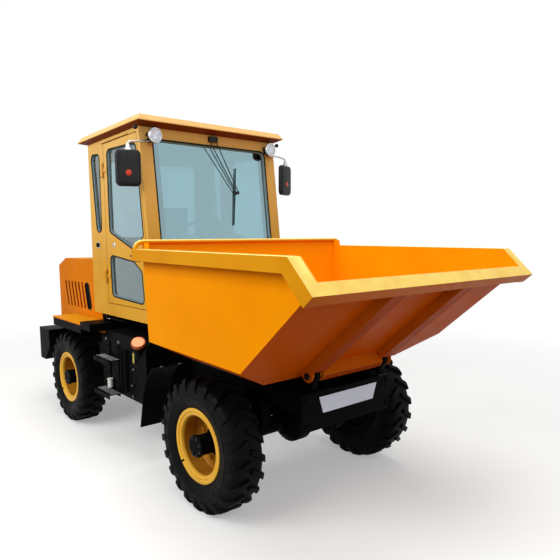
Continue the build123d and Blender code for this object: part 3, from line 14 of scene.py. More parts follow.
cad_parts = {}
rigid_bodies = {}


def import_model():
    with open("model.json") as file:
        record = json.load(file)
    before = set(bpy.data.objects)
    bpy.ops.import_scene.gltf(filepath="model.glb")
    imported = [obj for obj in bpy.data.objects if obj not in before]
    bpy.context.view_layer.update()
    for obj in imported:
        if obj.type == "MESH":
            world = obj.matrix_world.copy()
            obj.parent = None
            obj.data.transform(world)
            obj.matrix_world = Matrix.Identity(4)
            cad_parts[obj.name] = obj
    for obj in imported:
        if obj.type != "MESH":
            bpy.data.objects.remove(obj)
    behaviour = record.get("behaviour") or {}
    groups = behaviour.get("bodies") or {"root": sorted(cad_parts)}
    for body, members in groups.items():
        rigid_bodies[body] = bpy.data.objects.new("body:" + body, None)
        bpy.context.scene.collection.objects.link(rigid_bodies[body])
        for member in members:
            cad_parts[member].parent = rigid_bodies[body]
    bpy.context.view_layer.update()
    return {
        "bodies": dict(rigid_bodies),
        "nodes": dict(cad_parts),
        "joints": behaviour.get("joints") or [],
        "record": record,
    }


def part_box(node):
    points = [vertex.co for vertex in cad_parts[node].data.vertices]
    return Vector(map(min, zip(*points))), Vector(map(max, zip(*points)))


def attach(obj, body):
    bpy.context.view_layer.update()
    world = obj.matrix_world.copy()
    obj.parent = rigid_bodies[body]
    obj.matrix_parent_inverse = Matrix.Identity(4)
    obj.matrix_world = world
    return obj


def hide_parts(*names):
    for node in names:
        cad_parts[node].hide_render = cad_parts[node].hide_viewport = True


LOG = logging.getLogger("dumper")
MM = 0.001
SMOOTH_BELOW = math.radians(35.0)       # edges flatter than this are shaded smooth
SOFT_BELOW = math.radians(50.0)         # the same for rubber and silicone profiles
EDGE_ANGLE = math.radians(30.0)         # edges sharper than this are rounded
WELD = 1e-6                             # points closer than this are one, in metres
WASHER = 0.68                           # a washer's radius over its bolt head's width
BEND_STEPS = 6                          # straight runs along a bent bar's corner
SIDES = (("l", 1.0), ("r", -1.0))       # left and right, with the sign of their Y
ORIGIN = (0.0, 0.0, 0.0)
ENAMEL_DUST = "#CBB089"
WHITE = (1.0, 1.0, 1.0, 1.0)

Point = tuple[float, float, float]
Outline = list[tuple[float, float]]
Shape = bmesh.types.BMesh
Piece = bpy.types.Object
Tree = bpy.types.NodeTree
Socket = bpy.types.NodeSocket


# ---------------------------------------------------------------- nodes and colours
def linear(colour: str, alpha: float = 1.0) -> tuple[float, float, float, float]:
    """Turns "#RRGGBB" in sRGB into linear red, green and blue, with alpha as the fourth value."""
    channels = [int(colour[i:i + 2], 16) / 255.0 for i in (1, 3, 5)]
    return (*[c / 12.92 if c <= 0.04045 else ((c + 0.055) / 1.055) ** 2.4 for c in channels], alpha)


def add_node(tree: Tree, kind: str, settings: dict | None = None,
             inputs: dict | None = None) -> bpy.types.Node:
    """Adds a node with its settings, values and links.

    Args:
        tree: The shader or geometry tree.
        kind: Blender's node type.
        settings: Properties of the node itself.
        inputs: Socket names or numbers, each with a value or with the socket that feeds it.

    Returns:
        The new node.
    """
    node = tree.nodes.new(kind)
    for key, value in (settings or {}).items():
        setattr(node, key, value)
    for key, value in (inputs or {}).items():
        if isinstance(value, Socket):
            tree.links.new(value, node.inputs[key])
        else:
            node.inputs[key].default_value = value
    return node


def result(tree: Tree, kind: str, settings: dict | None = None, inputs: dict | None = None) -> Socket:
    """The first output of a new node, which takes what add_node takes."""
    return add_node(tree, kind, settings, inputs).outputs[0]


class Shader:
    """A material's tree, with the few node patterns that the finishes share."""

    def __init__(self, name: str) -> None:
        """Starts an empty material.

        Args:
            name: The material's name.
        """
        self.material = bpy.data.materials.new(name)
        self.material.use_nodes = True
        self.tree = self.material.node_tree
        self.tree.nodes.clear()
        self.place = add_node(self.tree, "ShaderNodeTexCoord").outputs["Object"]

    def noise(self, size_mm: float, detail: float = 3.0, rough: float = 0.55,
              stretch: Point = (1.0, 1.0, 1.0)) -> Socket:
        """Noise whose blobs are about that size.

        Args:
            size_mm: The blobs' size on the real surface.
            detail: Octaves.
            rough: How strong the fine octaves are.
            stretch: How many times longer the blobs are along each axis.

        Returns:
            The noise's factor.
        """
        scale = tuple(1.0 / s for s in stretch)
        place = add_node(self.tree, "ShaderNodeMapping", None, {"Vector": self.place, "Scale": scale})
        scale = 1.0 / (size_mm * MM)
        inputs = {"Vector": place.outputs[0], "Scale": scale, "Detail": detail, "Roughness": rough}
        return add_node(self.tree, "ShaderNodeTexNoise", None, inputs).outputs["Fac"]

    def ramp(self, value: Socket, low: float, high: float,
             to_low: float = 0.0, to_high: float = 1.0) -> Socket:
        """Maps low..high onto to_low..to_high, held at both ends."""
        inputs = {0: value, 1: low, 2: high, 3: to_low, 4: to_high}
        return result(self.tree, "ShaderNodeMapRange", {"clamp": True}, inputs)

    def times(self, first: Socket, second: object) -> Socket:
        """The product of two values."""
        inputs = {0: first, 1: second}
        return result(self.tree, "ShaderNodeMath", {"operation": "MULTIPLY"}, inputs)

    def mix(self, share: Socket, first: object, second: object) -> Socket:
        """Mixes two colours, given as values or sockets, with that share of the second."""
        settings = {"data_type": "RGBA", "clamp_factor": True}
        return add_node(self.tree, "ShaderNodeMix", settings, {0: share, 6: first, 7: second}).outputs[2]

    def upward(self, start: float = 0.5, end: float = 0.95) -> Socket:
        """Tells how far the surface faces up.

        Args:
            start: The normal's upward part at which it is none.
            end: The upward part at which it is one.

        Returns:
            A share that runs from none to one.
        """
        normal = add_node(self.tree, "ShaderNodeNewGeometry").outputs["Normal"]
        split = add_node(self.tree, "ShaderNodeSeparateXYZ", None, {0: normal})
        return self.ramp(split.outputs["Z"], start, end)

    def height(self, full: float, none: float) -> Socket:
        """Runs from one at a height of full metres to none at the other height."""
        split = add_node(self.tree, "ShaderNodeSeparateXYZ", None, {0: self.place})
        return self.ramp(split.outputs["Z"], full, none, 1.0, 0.0)

    def bump(self, value: Socket, depth_mm: float,
             under: Socket | None = None) -> Socket:
        """Bump of that depth.

        Args:
            value: The height pattern.
            depth_mm: Its depth on the real surface.
            under: A bump that this one lies on.

        Returns:
            The bent normal.
        """
        inputs = {"Height": value, "Distance": depth_mm * MM, "Strength": 1.0}
        if under is not None:
            inputs["Normal"] = under
        return result(self.tree, "ShaderNodeBump", None, inputs)

    def surface(self, inputs: dict) -> bpy.types.Material:
        """Ends the tree in a Principled shader.

        Args:
            inputs: The shader's inputs, as add_node takes them.

        Returns:
            The finished material.
        """
        shader = add_node(self.tree, "ShaderNodeBsdfPrincipled", None, inputs)
        add_node(self.tree, "ShaderNodeOutputMaterial", None, {"Surface": shader.outputs[0]})
        return self.material


# ---------------------------------------------------------------- finishes
@dataclass(frozen=True)
class Enamel:
    """Sprayed machine enamel over steel: satin, faintly orange-peeled, with thin dust where it lies flat."""

    name: str
    colour: str
    shade: str                          # its large, slightly deeper patches
    dust: str = ENAMEL_DUST
    dust_share: float = 0.10
    roughness: float = 0.30
    coat: float = 0.35
    gleam: float = 0.35                 # how strongly the bare surface reflects
    chalk_and_highlight: str = "#000000"              # its colour where it faces the sky: painted highlight, with some chalking
    chalk_and_highlight_share: float = 0.0
    peel_mm: float = 4.0
    splash_height: float = 0.0          # how high the wheels throw dirt on it, in metres
    under: str = ""                     # its colour where it faces the ground: painted shade
    highlight_high_up: str = ""                     # its painted highlight colour high up
    highlight_high_up_share: float = 0.5

    def material(self) -> bpy.types.Material:
        """Builds the material.

        Returns:
            The material, with the finish's name.
        """
        s = Shader(self.name)
        patches = s.ramp(s.noise(420.0, 2.0), 0.40, 0.66)
        colour = s.mix(patches, linear(self.colour), linear(self.shade))
        if self.highlight_high_up:
            # painted highlight: the paint is paler high up, as if more light fell there
            high = s.times(s.height(2.35, 1.45), self.highlight_high_up_share)
            colour = s.mix(high, colour, linear(self.highlight_high_up))
        if self.under:
            # painted shade: what faces the ground is darker and redder
            colour = s.mix(s.upward(-0.05, -0.55), colour, linear(self.under))
        if self.chalk_and_highlight_share > 0.0:
            # painted highlight, with some chalking: what faces the sky is paler, in noisy patches
            chalked_and_lit = s.times(s.upward(0.25, 0.9), s.ramp(s.noise(120.0, 4.0), 0.2, 0.6, 0.6))
            colour = s.mix(s.times(chalked_and_lit, self.chalk_and_highlight_share), colour, linear(self.chalk_and_highlight))
        film = s.times(s.ramp(s.noise(35.0, 5.0, 0.7), 0.42, 0.72), self.dust_share)
        film = s.times(film, s.ramp(s.upward(), 0.0, 1.0, 0.5, 1.6))
        colour = s.mix(film, colour, linear(self.dust))
        if self.splash_height > 0.0:
            low = s.times(s.height(0.15, self.splash_height), s.ramp(s.noise(60.0, 5.0, 0.7), 0.40, 0.70))
            colour = s.mix(s.times(low, 0.5), colour, linear(self.dust))
        rough = s.ramp(s.noise(90.0, 4.0), 0.3, 0.7, self.roughness - 0.05, self.roughness + 0.10)
        peel = s.bump(s.noise(self.peel_mm, 1.0), 0.05)
        return s.surface({
            "Base Color": colour, "Roughness": rough, "Normal": peel,
            "Coat Weight": self.coat, "Coat Roughness": 0.12, "Specular IOR Level": self.gleam,
        })


@dataclass(frozen=True)
class Rubber:
    """Moulded black rubber: matt, fine-grained, greyed by dust in its low places."""

    name: str
    colour: str = "#141414"
    dust: str = "#4A443C"
    dust_share: float = 0.35
    roughness: float = 0.62
    grain_mm: float = 1.6
    gleam: float = 0.3

    def material(self) -> bpy.types.Material:
        """Builds the material.

        Returns:
            The material, with the finish's name.
        """
        s = Shader(self.name)
        film = s.times(s.ramp(s.noise(70.0, 5.0, 0.65), 0.45, 0.75), self.dust_share)
        colour = s.mix(film, linear(self.colour), linear(self.dust))
        rough = s.ramp(s.noise(40.0, 3.0), 0.3, 0.7, self.roughness - 0.08, self.roughness + 0.12)
        grain = s.bump(s.noise(self.grain_mm, 2.0), 0.15)
        return s.surface({
            "Base Color": colour, "Roughness": rough, "Normal": grain, "Specular IOR Level": self.gleam,
        })


@dataclass(frozen=True)
class Metal:
    """Bare or plated metal: a full reflection broken up by fine machining marks and handling."""

    name: str
    colour: str
    tarnish: str
    roughness: float = 0.28
    mark_mm: float = 1.2
    stretch: Point = (1.0, 12.0, 1.0)

    def material(self) -> bpy.types.Material:
        """Builds the material.

        Returns:
            The material, with the finish's name.
        """
        s = Shader(self.name)
        colour = s.mix(s.ramp(s.noise(25.0, 4.0), 0.45, 0.75), linear(self.colour), linear(self.tarnish))
        marks = s.noise(self.mark_mm, 2.0, 0.6, self.stretch)
        rough = s.ramp(marks, 0.3, 0.7, self.roughness - 0.06, self.roughness + 0.10)
        return s.surface({
            "Base Color": colour, "Metallic": 1.0, "Roughness": rough, "Normal": s.bump(marks, 0.02),
        })


@dataclass(frozen=True)
class Plastic:
    """Moulded ABS or polypropylene: an even colour with a spark-eroded grain."""

    name: str
    colour: str
    pale: str
    roughness: float = 0.45
    gleam: float = 0.2
    grain_mm: float = 1.2
    grain_depth_mm: float = 0.06

    def material(self) -> bpy.types.Material:
        """Builds the material.

        Returns:
            The material, with the finish's name.
        """
        s = Shader(self.name)
        patches = s.ramp(s.noise(50.0, 4.0), 0.42, 0.75, 0.0, 0.5)
        colour = s.mix(patches, linear(self.colour), linear(self.pale))
        rough = s.ramp(s.noise(30.0, 3.0), 0.3, 0.7, self.roughness - 0.05, self.roughness + 0.08)
        grain = s.bump(s.noise(self.grain_mm, 2.0), self.grain_depth_mm)
        return s.surface({
            "Base Color": colour, "Roughness": rough, "Normal": grain, "Specular IOR Level": self.gleam,
        })


@dataclass(frozen=True)
class Glazing:
    """Toughened float glass with a faint tint: clear, sharp in reflection, its coating a part mirror."""

    name: str
    tint: str
    roughness: float = 0.02
    dust_share: float = 0.10
    mirrored: float = 0.0

    def material(self) -> bpy.types.Material:
        """Builds the material.

        Returns:
            The material, with the finish's name.
        """
        s = Shader(self.name)
        film = s.ramp(s.noise(160.0, 4.0, 0.6), 0.35, 0.75, 0.0, self.dust_share)
        rough = s.ramp(film, 0.0, self.dust_share, self.roughness, self.roughness + 0.05)
        wave = s.bump(s.noise(300.0, 1.0), 0.15)
        return s.surface({
            "Base Color": linear(self.tint), "Roughness": rough, "Normal": wave,
            "Transmission Weight": 1.0, "IOR": 1.45, "Metallic": self.mirrored,
        })


@dataclass(frozen=True)
class Vinyl:
    """Grained seat vinyl: soft sheen over small leather-like cells."""

    name: str
    colour: str
    pale: str
    cell_mm: float = 2.5

    def material(self) -> bpy.types.Material:
        """Builds the material.

        Returns:
            The material, with the finish's name.
        """
        s = Shader(self.name)
        cells = add_node(
            s.tree, "ShaderNodeTexVoronoi", {"feature": "DISTANCE_TO_EDGE"},
            {"Vector": s.place, "Scale": 1.0 / (self.cell_mm * MM)},
        ).outputs["Distance"]
        worn = s.ramp(s.noise(60.0, 4.0), 0.4, 0.75, 0.0, 0.6)
        colour = s.mix(worn, linear(self.colour), linear(self.pale))
        grain = s.bump(s.ramp(cells, 0.0, 0.2), 0.12)
        return s.surface({
            "Base Color": colour, "Roughness": 0.5, "Normal": grain, "Sheen Weight": 0.15,
        })


class Slot(Enum):
    """The record's material slots."""

    SKIP = "skip_orange"
    CAB = "cab_ochre"
    HOOD = "hood_orange"
    FRAME = "frame_black"
    WHEEL = "wheel_ochre"
    TYRE = "tyre"
    GLASS = "glass"
    CONSOLE = "console"
    SEAT = "seat"
    LAMP = "lamp"
    MIRROR = "mirror_black"
    CAP = "cap"
    PLATE = "plate"
    STEEL = "steel"
    CHROME = "chrome_rod"
    ENGINE = "engine"
    GUARD = "rubber_guard"


FINISHES = {
    # Enamel: name, colour, shade, dust, its share, roughness, coat, gleam, chalk and highlight, its share,
    # peel.
    # Rubber: name, colour, dust, its share, roughness, grain, gleam. Metal: name, colour, tarnish,
    # roughness, mark. Plastic: name, colour, pale, roughness, gleam. Glazing: name, tint, roughness.
    # the skip is paler where it faces the sky as painted highlight, with some chalking; its under colour is
    # painted shade
    "skip": Enamel("skip_enamel", "#F09200", "#EB8C00", ENAMEL_DUST, 0.02, 0.36, 0.0, 0.02, "#F8C650", 0.45,
                   5.0, under="#DC5C00"),
    # the ribs are the skip's paint, darkened and reddened as painted shade
    "rib": Enamel("rib_enamel_painted_shade", "#C8640A", "#BC5A06", ENAMEL_DUST, 0.02, 0.40, 0.0, 0.02, under="#B84600"),
    # the rim is the skip's paint, darker as painted shade, with a full painted highlight where it faces the
    # sky
    "rim": Enamel("rim_enamel_painted_light", "#D48E10", "#CA840A", ENAMEL_DUST, 0.02, 0.34, 0.0, 0.03, "#FFE884", 1.0,
                  under="#D86A00"),
    # the cab is paler high up and where it faces the sky: painted highlight
    "cab": Enamel("cab_enamel", "#D39A30", "#CA9028", ENAMEL_DUST, 0.04, 0.40, 0.0, 0.03, "#EFC36A", 0.40,
                  highlight_high_up="#E3BC78", highlight_high_up_share=0.55),
    # the roof is paler as painted highlight where it faces the sky; its brown underside is painted shade
    "roof": Enamel("roof_enamel_painted_light", "#D8A45C", "#CE9A50", ENAMEL_DUST, 0.03, 0.40, 0.0, 0.03, "#E8C68C", 0.9,
                   under="#7A3610"),
    # the hood is paler where it faces the sky as painted highlight, with some chalking
    "hood": Enamel("hood_enamel", "#D87800", "#D07000", ENAMEL_DUST, 0.02, 0.40, 0.0, 0.015, "#D89A18", 0.80),
    # the louvre lips' dark red is painted shade inside the slots
    "louvre_slot_shade": Enamel("louvre_slot_painted_shade", "#7A2008", "#681806", "#6A4A38", 0.05, 0.6, 0.0, 0.02),
    "frame": Enamel("chassis_enamel", "#0A0B0B", "#060707", "#35312B", 0.06, 0.40, 0.0, 0.012,
                    splash_height=0.4),
    "wheel": Enamel("wheel_enamel", "#E6B03A", "#DCA22C", "#8A7550", 0.08, 0.38, 0.05, 0.12,
                    splash_height=0.3),
    "wheel_deep": Enamel("wheel_barrel_enamel", "#BE8220", "#A36612", "#6A4A28", 0.22, 0.45, 0.03, 0.10,
                         splash_height=0.4),
    # the wheels' inner side is near-black: painted shade, with mud
    "wheel_back": Enamel("wheel_back_shade_and_mud", "#15110C", "#0D0B08", "#2E2820", 0.25, 0.6, 0.0, 0.02),
    "frame_worn": Enamel("hub_bolt_enamel", "#141516", "#0E0F10", "#4A453E", 0.15, 0.38, 0.02, 0.10),
    "tyre": Rubber("tyre_rubber", "#040404", "#1E1B17", 0.08, 0.55, gleam=0.06),
    "guard": Rubber("mudguard_rubber", "#030303", "#1A1815", 0.05, 0.50, 3.0, 0.03),
    "seal": Rubber("epdm_seal", "#050506", "#141210", 0.06, 0.5, 1.0, 0.08),
    "bedding": Plastic("silicone_bedding", "#6E8186", "#7F9297", 0.45, 0.2),
    "glass": Glazing("float_glass", "#C4DADF", mirrored=0.16),
    "screen": Glazing("coated_screen_glass", "#B0D2DA", mirrored=0.52),
    "lens": Glazing("pressed_lens_glass", "#F2F3F8", 0.08, mirrored=0.25),
    "console": Plastic("console_abs", "#141516", "#222324"),
    "seat": Vinyl("seat_vinyl", "#151516", "#262524"),
    "mirror": Plastic("mirror_polypropylene", "#0C0C10", "#16161C", 0.4, 0.2),
    "reflector": Plastic("reflector_acrylic", "#C03A20", "#CF4A2C", 0.2),
    "mirror_glass": Metal("silvered_glass", "#E6E9EA", "#DEE2E3", 0.07, 0.6),
    # the cap's face is paler as painted highlight and its ribbed rim darker as painted shade
    "cap": Plastic("cap_face_polyethylene_lit", "#FFA872", "#FFC49A", 0.42),
    "cap_rim": Plastic("cap_rim_polyethylene_shaded", "#B5562C", "#C4683A", 0.45),
    "gauge": Plastic("gauge_acrylic", "#B9A62E", "#D8CC5A", 0.2, 0.4),
    "bowl": Plastic("filter_bowl_nylon", "#D9D9D4", "#EDEDEA", 0.35, 0.4),
    # the tread's pale lozenges are worn steel and painted glints
    "tread": Enamel("worn_tread_enamel_painted_glints", "#8A8D90", "#B8BCC0", "#7C7468", 0.10, 0.34, 0.0, 0.2),
    "plate": Enamel("plate_enamel", "#E6EAF8", "#DCE2F4", "#9AA3B0", 0.05, 0.35, 0.05, 0.3),
    "dull": Metal("weathered_zinc_plate", "#7A7C7E", "#4E4D49", 0.45),
    "steel": Metal("zinc_plated_steel", "#C9CBCC", "#9D9C96"),
    "chrome": Metal("hard_chrome", "#D9DBDD", "#C3C6C9", 0.10, 0.8),
    "rust": Metal("scaled_cast_iron", "#5A3524", "#2E1C14", 0.7, 6.0),
    "engine": Enamel("engine_grey_enamel", "#56605C", "#4A524F", "#8A8274", 0.25, 0.45, 0.05),
}


# ---------------------------------------------------------------- mesh helpers
def object_from(name: str, mesh: bpy.types.Mesh) -> Piece:
    """Links a new object that holds a mesh.

    Args:
        name: The object's name.
        mesh: Its mesh.

    Returns:
        The object, at the origin.
    """
    piece = bpy.data.objects.new(name, mesh)
    bpy.context.scene.collection.objects.link(piece)
    return piece


def finished(name: str, shape: Shape, material: bpy.types.Material,
             smooth_below: float = SMOOTH_BELOW) -> Piece:
    """Turns a bmesh into a finished object.

    Args:
        name: The piece's name.
        shape: The bmesh, which is freed.
        material: Its finish.
        smooth_below: Edges flatter than this angle are shaded smooth.

    Returns:
        The object, at the origin.
    """
    mesh = bpy.data.meshes.new(name)
    shape.to_mesh(mesh)
    shape.free()
    mesh.materials.append(material)
    mesh.shade_smooth()
    mesh.set_sharp_from_angle(angle=smooth_below)
    return object_from(name, mesh)


def baked(piece: Piece) -> Piece:
    """Applies a piece's modifiers and removes them.

    Args:
        piece: The object.

    Returns:
        The same object, with a plain mesh.
    """
    graph = bpy.context.evaluated_depsgraph_get()
    mesh = bpy.data.meshes.new_from_object(piece.evaluated_get(graph), depsgraph=graph)
    piece.modifiers.clear()
    piece.data = mesh
    return piece


def rounded(piece: Piece, width_mm: float, segments: int = 2) -> Piece:
    """Rounds a piece's hard edges, keeping its flat faces flat in shading.

    Args:
        piece: The object.
        width_mm: The rounding's width.
        segments: Steps across it.

    Returns:
        The same object.
    """
    bevel = piece.modifiers.new("edges", "BEVEL")
    bevel.width = width_mm * MM
    bevel.segments = segments
    bevel.limit_method = "ANGLE"
    bevel.angle_limit = EDGE_ANGLE
    bevel.harden_normals = True
    bevel.use_clamp_overlap = True
    return baked(piece)


def subdivided(piece: Piece, levels: int) -> Piece:
    """Subdivides a soft piece's surface.

    Args:
        piece: The object.
        levels: How many times each face is cut in four.

    Returns:
        The same object.
    """
    smooth = piece.modifiers.new("soft", "SUBSURF")
    smooth.levels = smooth.render_levels = levels
    return baked(piece)


# ---------------------------------------------------------------- shape makers
def lofted(sections: list[list[Point]], ring: bool = False) -> Shape:
    """A closed shape through equal sections.

    Args:
        sections: The sections' points, in metres.
        ring: Whether the last section joins the first; if not, both get an end face.

    Returns:
        The shape, with its faces outwards.
    """
    shape = bmesh.new()
    loops = [[shape.verts.new(point) for point in section] for section in sections]
    for low, high in zip(loops, loops[1:] + (loops[:1] if ring else [])):
        for i in range(len(low)):
            j = (i + 1) % len(low)
            shape.faces.new((low[i], low[j], high[j], high[i]))
    if not ring:
        shape.faces.new(loops[0])
        shape.faces.new(list(reversed(loops[-1])))
    bmesh.ops.recalc_face_normals(shape, faces=shape.faces)
    return shape


def turned(outline: Outline, centre: Point, side: float = 1.0, steps: int = 96, start: float = 0.0,
           sweep: float = 360.0) -> Shape:
    """Turns a closed (radius, width) outline about a cross-vehicle axis.

    Args:
        outline: The outline in millimetres; width is measured from the middle plane outwards.
        centre: The axis' middle, in metres.
        side: 1 on the left, -1 on the right.
        steps: Facets of a full turn.
        start: Where the sweep starts, in degrees.
        sweep: How far it goes; under 360 it gets end faces.

    Returns:
        A closed shape.
    """
    whole = sweep >= 360.0
    count = max(3, round(steps * sweep / 360.0))
    rings = []
    for k in range(count if whole else count + 1):
        angle = math.radians(start + sweep * k / count)
        x, z = MM * math.cos(angle), MM * math.sin(angle)
        rings.append([(centre[0] + r * x, centre[1] + side * w * MM, centre[2] + r * z) for r, w in outline])
    return lofted(rings, whole)


def faced(shape: Shape, way: Point, place: Point) -> Shape:
    """Turns a shape and moves it.

    Args:
        shape: The shape, which is changed.
        way: Where its +Y points afterwards.
        place: Where its origin goes, in metres.

    Returns:
        The same shape.
    """
    turn = Vector((0.0, 1.0, 0.0)).rotation_difference(Vector(way)).to_matrix().to_4x4()
    shape.transform(Matrix.Translation(Vector(place)) @ turn)
    return shape


def lathe(outline: Outline, steps: int, way: Point, place: Point) -> Shape:
    """A fitting turned about its own axis.

    Args:
        outline: (radius, width) pairs in millimetres; width runs along the way.
        steps: Facets of the full turn.
        way: Where its axis points.
        place: Its origin, in metres.

    Returns:
        A closed shape, welded on its axis.
    """
    shape = faced(turned([(float(r), float(w)) for r, w in outline], ORIGIN, 1.0, steps), way, place)
    bmesh.ops.remove_doubles(shape, verts=shape.verts, dist=WELD)
    return shape


def round_corners(points: Outline, radius: float, steps: int) -> Outline:
    """A closed outline with an arc at each corner.

    Args:
        points: The corners.
        radius: The arcs' radius, in the outline's unit, made smaller where a side is short.
        steps: Points along each arc.

    Returns:
        The rounded outline.
    """
    result = []
    count = len(points)
    for i in range(count):
        here = Vector(points[i])
        back = Vector(points[i - 1]) - here
        on = Vector(points[(i + 1) % count]) - here
        half = back.angle(on) / 2.0
        cut = min(radius / math.tan(half), 0.49 * back.length, 0.49 * on.length)
        first = here + back.normalized() * cut
        last = here + on.normalized() * cut
        middle = here + (back.normalized() + on.normalized()).normalized() * (cut / math.cos(half))
        a, b = first - middle, last - middle
        turn = a.angle_signed(b)
        for k in range(steps + 1):
            part = turn * k / steps
            c, s = math.cos(part), -math.sin(part)
            result.append((middle.x + a.x * c - a.y * s, middle.y + a.x * s + a.y * c))
    return result


def framed(outline: Outline, section: Outline, place: Callable) -> Shape:
    """Sweeps a closed section round a closed flat outline, as for a window seal.

    Args:
        outline: The line that it follows, flat.
        section: (outwards, upwards) pairs in millimetres.
        place: A function from (along, across, up) to a point in metres.

    Returns:
        A closed shape.
    """
    count = len(outline)
    area = sum(outline[i - 1][0] * outline[i][1] - outline[i][0] * outline[i - 1][1] for i in range(count))
    hand = 1.0 if area > 0.0 else -1.0
    rings = []
    for i in range(count):
        here = Vector(outline[i])
        before = (here - Vector(outline[i - 1])).normalized()
        after = (Vector(outline[(i + 1) % count]) - here).normalized()
        way = (before + after).normalized()
        out = Vector((way.y, -way.x)) * hand
        stretch = 1.0 / max(0.5, math.cos(before.angle(after) / 2.0))
        rings.append([place(*(here + out * (o * stretch)), u) for o, u in section])
    return lofted(rings, True)


def tube(points: list[Point], radius_mm: float, sides: int = 12, bend_mm: float = 0.0) -> Shape:
    """A round bar along straight runs, bent at its corners.

    Args:
        points: The corners of its line, in metres.
        radius_mm: The bar's radius.
        sides: Facets round it.
        bend_mm: The bends' radius along its line.

    Returns:
        A closed shape.
    """
    line = [Vector(points[0])]
    for before, here, after in zip(points, points[1:], points[2:]):
        here, back, on = Vector(here), Vector(before) - Vector(here), Vector(after) - Vector(here)
        half = back.angle(on) / 2.0
        cut = min(bend_mm * MM / math.tan(half), 0.45 * back.length, 0.45 * on.length)
        first, last = here + back.normalized() * cut, here + on.normalized() * cut
        for k in range(BEND_STEPS + 1):
            t = k / BEND_STEPS
            line.append(first * (1.0 - t) ** 2 + here * (2.0 * t * (1.0 - t)) + last * t ** 2)
    line.append(Vector(points[-1]))
    rings = []
    across = (line[1] - line[0]).orthogonal().normalized()
    for i, here in enumerate(line):
        way = (line[min(i + 1, len(line) - 1)] - line[max(i - 1, 0)]).normalized()
        across = (across - way * across.dot(way)).normalized()
        other = way.cross(across)
        angles = (2.0 * math.pi * k / sides for k in range(sides))
        rings.append([
            here + (across * math.cos(a) + other * math.sin(a)) * (radius_mm * MM) for a in angles
        ])
    return lofted(rings)


def slab(low: Point, high: Point) -> Shape:
    """A six-sided plate or block, which gets its rounded edges later.

    Args:
        low: Its lowest corner, in metres.
        high: Its highest corner.

    Returns:
        A closed shape.
    """
    shape = bmesh.new()
    bmesh.ops.create_cube(shape, size=1.0)
    for vertex in shape.verts:
        for axis in range(3):
            vertex.co[axis] = high[axis] if vertex.co[axis] > 0.0 else low[axis]
    return shape


def joined(*shapes: Shape) -> Shape:
    """Puts several shapes into one.

    Args:
        shapes: The shapes, which are freed.

    Returns:
        The whole.
    """
    whole = bmesh.new()
    for shape in shapes:
        mesh = bpy.data.meshes.new("part")
        shape.to_mesh(mesh)
        shape.free()
        whole.from_mesh(mesh)
        bpy.data.meshes.remove(mesh)
    return whole


def flank(half: float, side: float, unit: float = MM) -> Callable:
    """A flat side of the machine to lay points on.

    Args:
        half: How far it stands from the middle plane.
        side: 1 on the left, -1 on the right.
        unit: The unit of all its lengths, in metres.

    Returns:
        A function from (along, up, outwards) to a point in metres.
    """
    def place(along: float, up: float, out: float = 0.0) -> Point:
        """The point that far along, up and out of the flank."""
        return (along * unit, side * (half + out) * unit, up * unit)

    return place


